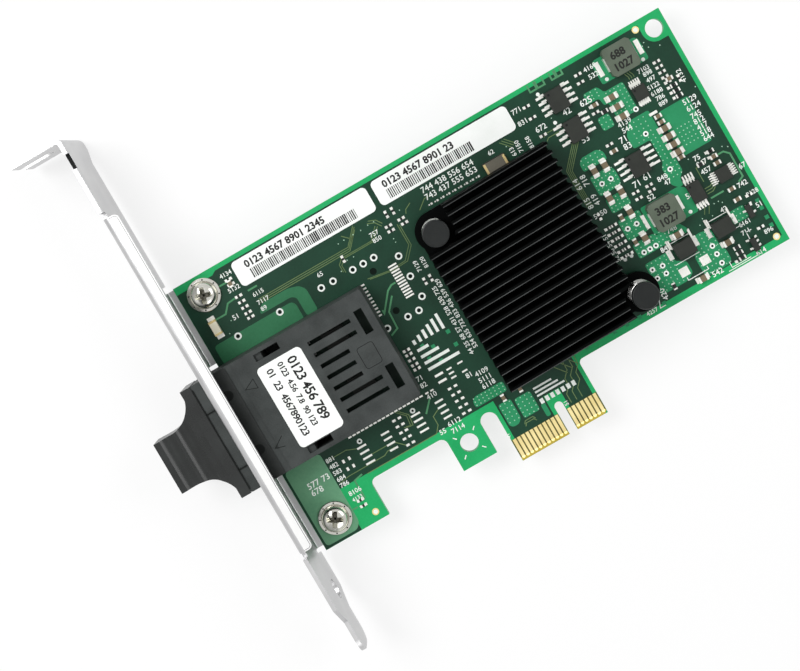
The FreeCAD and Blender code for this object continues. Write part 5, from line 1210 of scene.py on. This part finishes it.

# Painted highlights along the fins' edges, where light glints

fins = {
    "count": 21,
    "pitch": 1.93,
    "thick": 0.67,
    "long": 31.8,
    "turn": 1.2,
    "edgeIn": 0.09,
    "endIn": 0.15,
    "edgeWide": 0.13,
    "edgeHigh": 0.004,
    "edgeSunk": 0.05,
    "upperPocket": (7.4, 7.4),
    "lowerPocket": (2.75, 6.15),
}
padLow, padHigh = boxOf("thermal_pad")
sinkMiddle = Vector(((padLow.x + padHigh.x) / 2, (padLow.y + padHigh.y) / 2))
swing = Matrix.Rotation(math.radians(fins["turn"]), 2)
halfWide = (fins["pitch"] * (fins["count"] - 1) + fins["thick"]) / 2
edges = []
for number in range(fins["count"]):
    side = number * fins["pitch"] - halfWide
    end = fins["long"] / 2 - fins["endIn"]
    start = -end
    if side + fins["thick"] > halfWide - fins["upperPocket"][1]:
        start += fins["upperPocket"][0]
    if side < fins["lowerPocket"][1] - halfWide:
        end -= fins["lowerPocket"][0]
    edges.append([sinkMiddle + swing @ Vector((x, side + fins["edgeIn"])) for x in (start, end)])
finTop = boxOf("heat_sink")[1].z
film("fin_edges", ribbons(edges, fins["edgeWide"]), finTop, fins["edgeHigh"], "paintedFinHighlight",
     "sink_aluminium", fins["edgeSunk"])

# Solder side: its own dark plane, the same vias and holes come through, and solder stands round the pins

under = {
    "overlap": 0.02,
    "planeDeep": 0.02,
    "trackDeep": 0.03,
    "pourDeep": 0.035,
    "ringDeep": 0.045,
    "boreDeep": 0.055,
    "coneDeep": 0.85,
    "coneWide": 1.5,
    "coneTip": 0.55,
    "pinEdge": 0.25,
    "modulePins": 9,
    "viaWide": 0.42,
    "ringWide": 1.45,
    "boreWide": 0.7,
    "pourCorner": 0.8,
    "trackWide": 0.2,
    "partFirst": (-2.5, 26.5),
    "partStep": (4.4, 4.6),
    "partColumns": 6,
    "parts": 30,
    "partEnd": (0.65, 0.42, 0.6),
    "endDeep": 0.42,
    "partCore": (0.9, 0.55),
    "coreDeep": 0.4,
}
overlap = under["overlap"]
underPours = [
    [(-55.3, 7), (-48.6, 7), (-47.2, 9), (-47.2, 21.5), (-38, 21.5), (-38, 33), (-55.3, 33)],
    [(-55.3, 40), (-44, 40), (-42, 42), (-42, 51), (-55.3, 51)],
    [(29, 14.8), (44, 14.8), (46.5, 17), (46.5, 24), (41, 28.5), (29, 28.5)], oblong((38, 35), (55.8, 49)),
    [(34, 53), (46, 53), (49, 56), (56.3, 56), (56.3, 60), (49, 60), (47, 64.8), (34, 64.8)],
    oblong((-3, 24), (20, 47)),
]
underBundles = [
    ([(-10.5, 12.5), (-10.5, 17), (-7.5, 20), (-7.5, 23)], 8, (2, 0)),
    ([(-25.8, 26), (-20, 26), (-16, 30), (-8, 30)], 9, (0, 0.62)),
    ([(-46, 61.5), (-20, 61.5), (-14, 55.5), (-6, 55.5), (0, 50)], 6, (0.3, -0.7)),
    ([(22, 49), (27, 54), (31, 54)], 7, (0.25, -0.75)),
    ([(22, 30), (27, 30), (30, 33), (36, 33)], 6, (0.1, 0.8)),
    ([(50, 14.8), (50, 20), (52.5, 22.5), (52.5, 32)], 5, (0.8, 0)),
    ([(-36, 15), (-20, 15), (-17, 18), (-12, 18)], 5, (0, 0.8)),
]
film("under_planes", planes, 0, overlap, "maskOverPlane", "board_green", under["planeDeep"])
film("under_pours", rounded(underPours, under["pourCorner"]), 0, overlap, "maskOverPour", "board_green",
     under["pourDeep"])
film("under_tracks", ribbons(bundles(underBundles), under["trackWide"]), 0, overlap, "maskOverFineTrace",
     "board_green", under["trackDeep"])
underHoles = ringPlaces + testPlaces
ringLevel = -under["ringDeep"]
dots("under_vias", viaPlaces, under["viaWide"], ringLevel, overlap, "reflowedTin", "pin_tin", sides=8)
dots("under_rings", underHoles, under["ringWide"], ringLevel, overlap, "reflowedTin", "pin_tin", sides=20)
dots("under_bores", underHoles, under["boreWide"], -under["boreDeep"], overlap, "holeDark", "board_green")
moduleLow, moduleHigh = boxOf("transceiver_pins")
firstPin, lastPin = moduleLow.y + under["pinEdge"], moduleHigh.y - under["pinEdge"]
modulePins = [((moduleLow.x + moduleHigh.x) / 2,
               firstPin + (lastPin - firstPin) * number / (under["modulePins"] - 1))
              for number in range(under["modulePins"])]
dots("pin_solder", modulePins, under["coneTip"], -under["coneDeep"], overlap, "reflowedTin", "pin_tin",
     under["coneWide"], 20)
underPlaces = [(under["partFirst"][0] + number % under["partColumns"] * under["partStep"][0],
                under["partFirst"][1] + number // under["partColumns"] * under["partStep"][1])
               for number in range(under["parts"])]
underEnds = bothEnds(underPlaces, *under["partEnd"])
underCores = [(x, y, *under["partCore"]) for x, y in underPlaces]
blocks("under_part_ends", underEnds, -under["endDeep"], overlap, "reflowedTin", "end_tin")
blocks("under_part_cores", underCores, -under["coreDeep"], overlap, "resistorGlaze", "resistor_dark")
print("solder side drawn")

# Camera: it stands over the board's top edge, turned so that the card leans to the right

camera = {
    "place": (-0.836, 69.332, 327.336),
    "turn": (-0.0501, 0.0016, -0.5257),
    "lens": 71.348,
    "shift": (0.0, -0.14),
}
view = put("camera", bpy.data.cameras.new("camera"))
view.location = [value * mm for value in camera["place"]]
view.rotation_euler = camera["turn"]
view.data.lens = camera["lens"]
view.data.sensor_width = 36
view.data.shift_x, view.data.shift_y = camera["shift"]
view.data.clip_start = 0.01
scene.camera = view

# Stage: a pale floor under the bracket's back edge, a white world and soft boxes

stage = {
    "floorSize": 6000,
    "floorThick": 5,
    "floorGap": 0.02,
    "floorColour": "#f6f6f6",
    "floorRough": 0.9,
    "showWhite": 0.75,
    "worldLight": 0.36,
    "worldGloss": 0.85,
    "aim": (0, 45, 0),
    "boxes": [
        dict(place=(-240, 330, 520), size=300, power=2.6),
        dict(place=(380, 60, 420), size=300, power=0.8),
        dict(place=(-60, -360, 380), size=320, power=0.55),
    ],
}


def makeFloor():
    # the camera and glossy surfaces see the floor as white, and it still takes the card's shadow
    half = stage["floorSize"] / 2
    level = cadBox[0].z / mm - stage["floorGap"]
    mesh = plateMesh("floor", [oblong((-half, -half), (half, half))], level - stage["floorThick"], level)
    material = bpy.data.materials.new("paleFloor")
    material.use_nodes = True
    tree = material.node_tree
    shader = tree.nodes["Principled BSDF"]
    shader.inputs["Base Color"].default_value = linear(stage["floorColour"])
    shader.inputs["Roughness"].default_value = stage["floorRough"]
    glow = addNode(tree, "ShaderNodeEmission", sockets={"Color": (1, 1, 1, 1), "Strength": 1.0})
    ray = addNode(tree, "ShaderNodeLightPath").outputs
    seen = addNode(tree, "ShaderNodeMath", {"operation": "MAXIMUM"}, {
        0: ray["Is Camera Ray"], 1: ray["Is Glossy Ray"]})
    share = addNode(tree, "ShaderNodeMath", {"operation": "MULTIPLY"}, {
        0: seen.outputs[0], 1: stage["showWhite"]})
    mixed = addNode(tree, "ShaderNodeMixShader", sockets={
        0: share.outputs[0], 1: shader.outputs[0], 2: glow.outputs[0]})
    tree.links.new(mixed.outputs[0], tree.nodes["Material Output"].inputs["Surface"])
    mesh.materials.append(material)
    put("floor", mesh)


def makeLights():
    world = bpy.data.worlds.new("studio")
    scene.world = world
    world.use_nodes = True
    tree = world.node_tree
    background = tree.nodes["Background"]
    background.inputs["Color"].default_value = (1, 1, 1, 1)
    ray = addNode(tree, "ShaderNodeLightPath").outputs
    gloss = addNode(tree, "ShaderNodeMath", {"operation": "MULTIPLY_ADD"}, {
        0: ray["Is Glossy Ray"], 1: stage["worldGloss"] - stage["worldLight"], 2: stage["worldLight"]})
    shown = addNode(tree, "ShaderNodeMath", {"operation": "MAXIMUM"}, {
        0: ray["Is Camera Ray"], 1: gloss.outputs[0]})
    tree.links.new(shown.outputs[0], background.inputs["Strength"])
    for number, choice in enumerate(stage["boxes"]):
        lamp = bpy.data.lights.new(f"softBox{number}", "AREA")
        lamp.energy = choice["power"]
        lamp.size = choice["size"] * mm
        box = put(lamp.name, lamp)
        box.location = Vector(choice["place"]) * mm
        aim = Vector(stage["aim"]) * mm - box.location
        box.rotation_euler = aim.to_track_quat("-Z", "Y").to_euler()


makeFloor()
makeLights()
print("stage set")

bpy.context.view_layer.update()
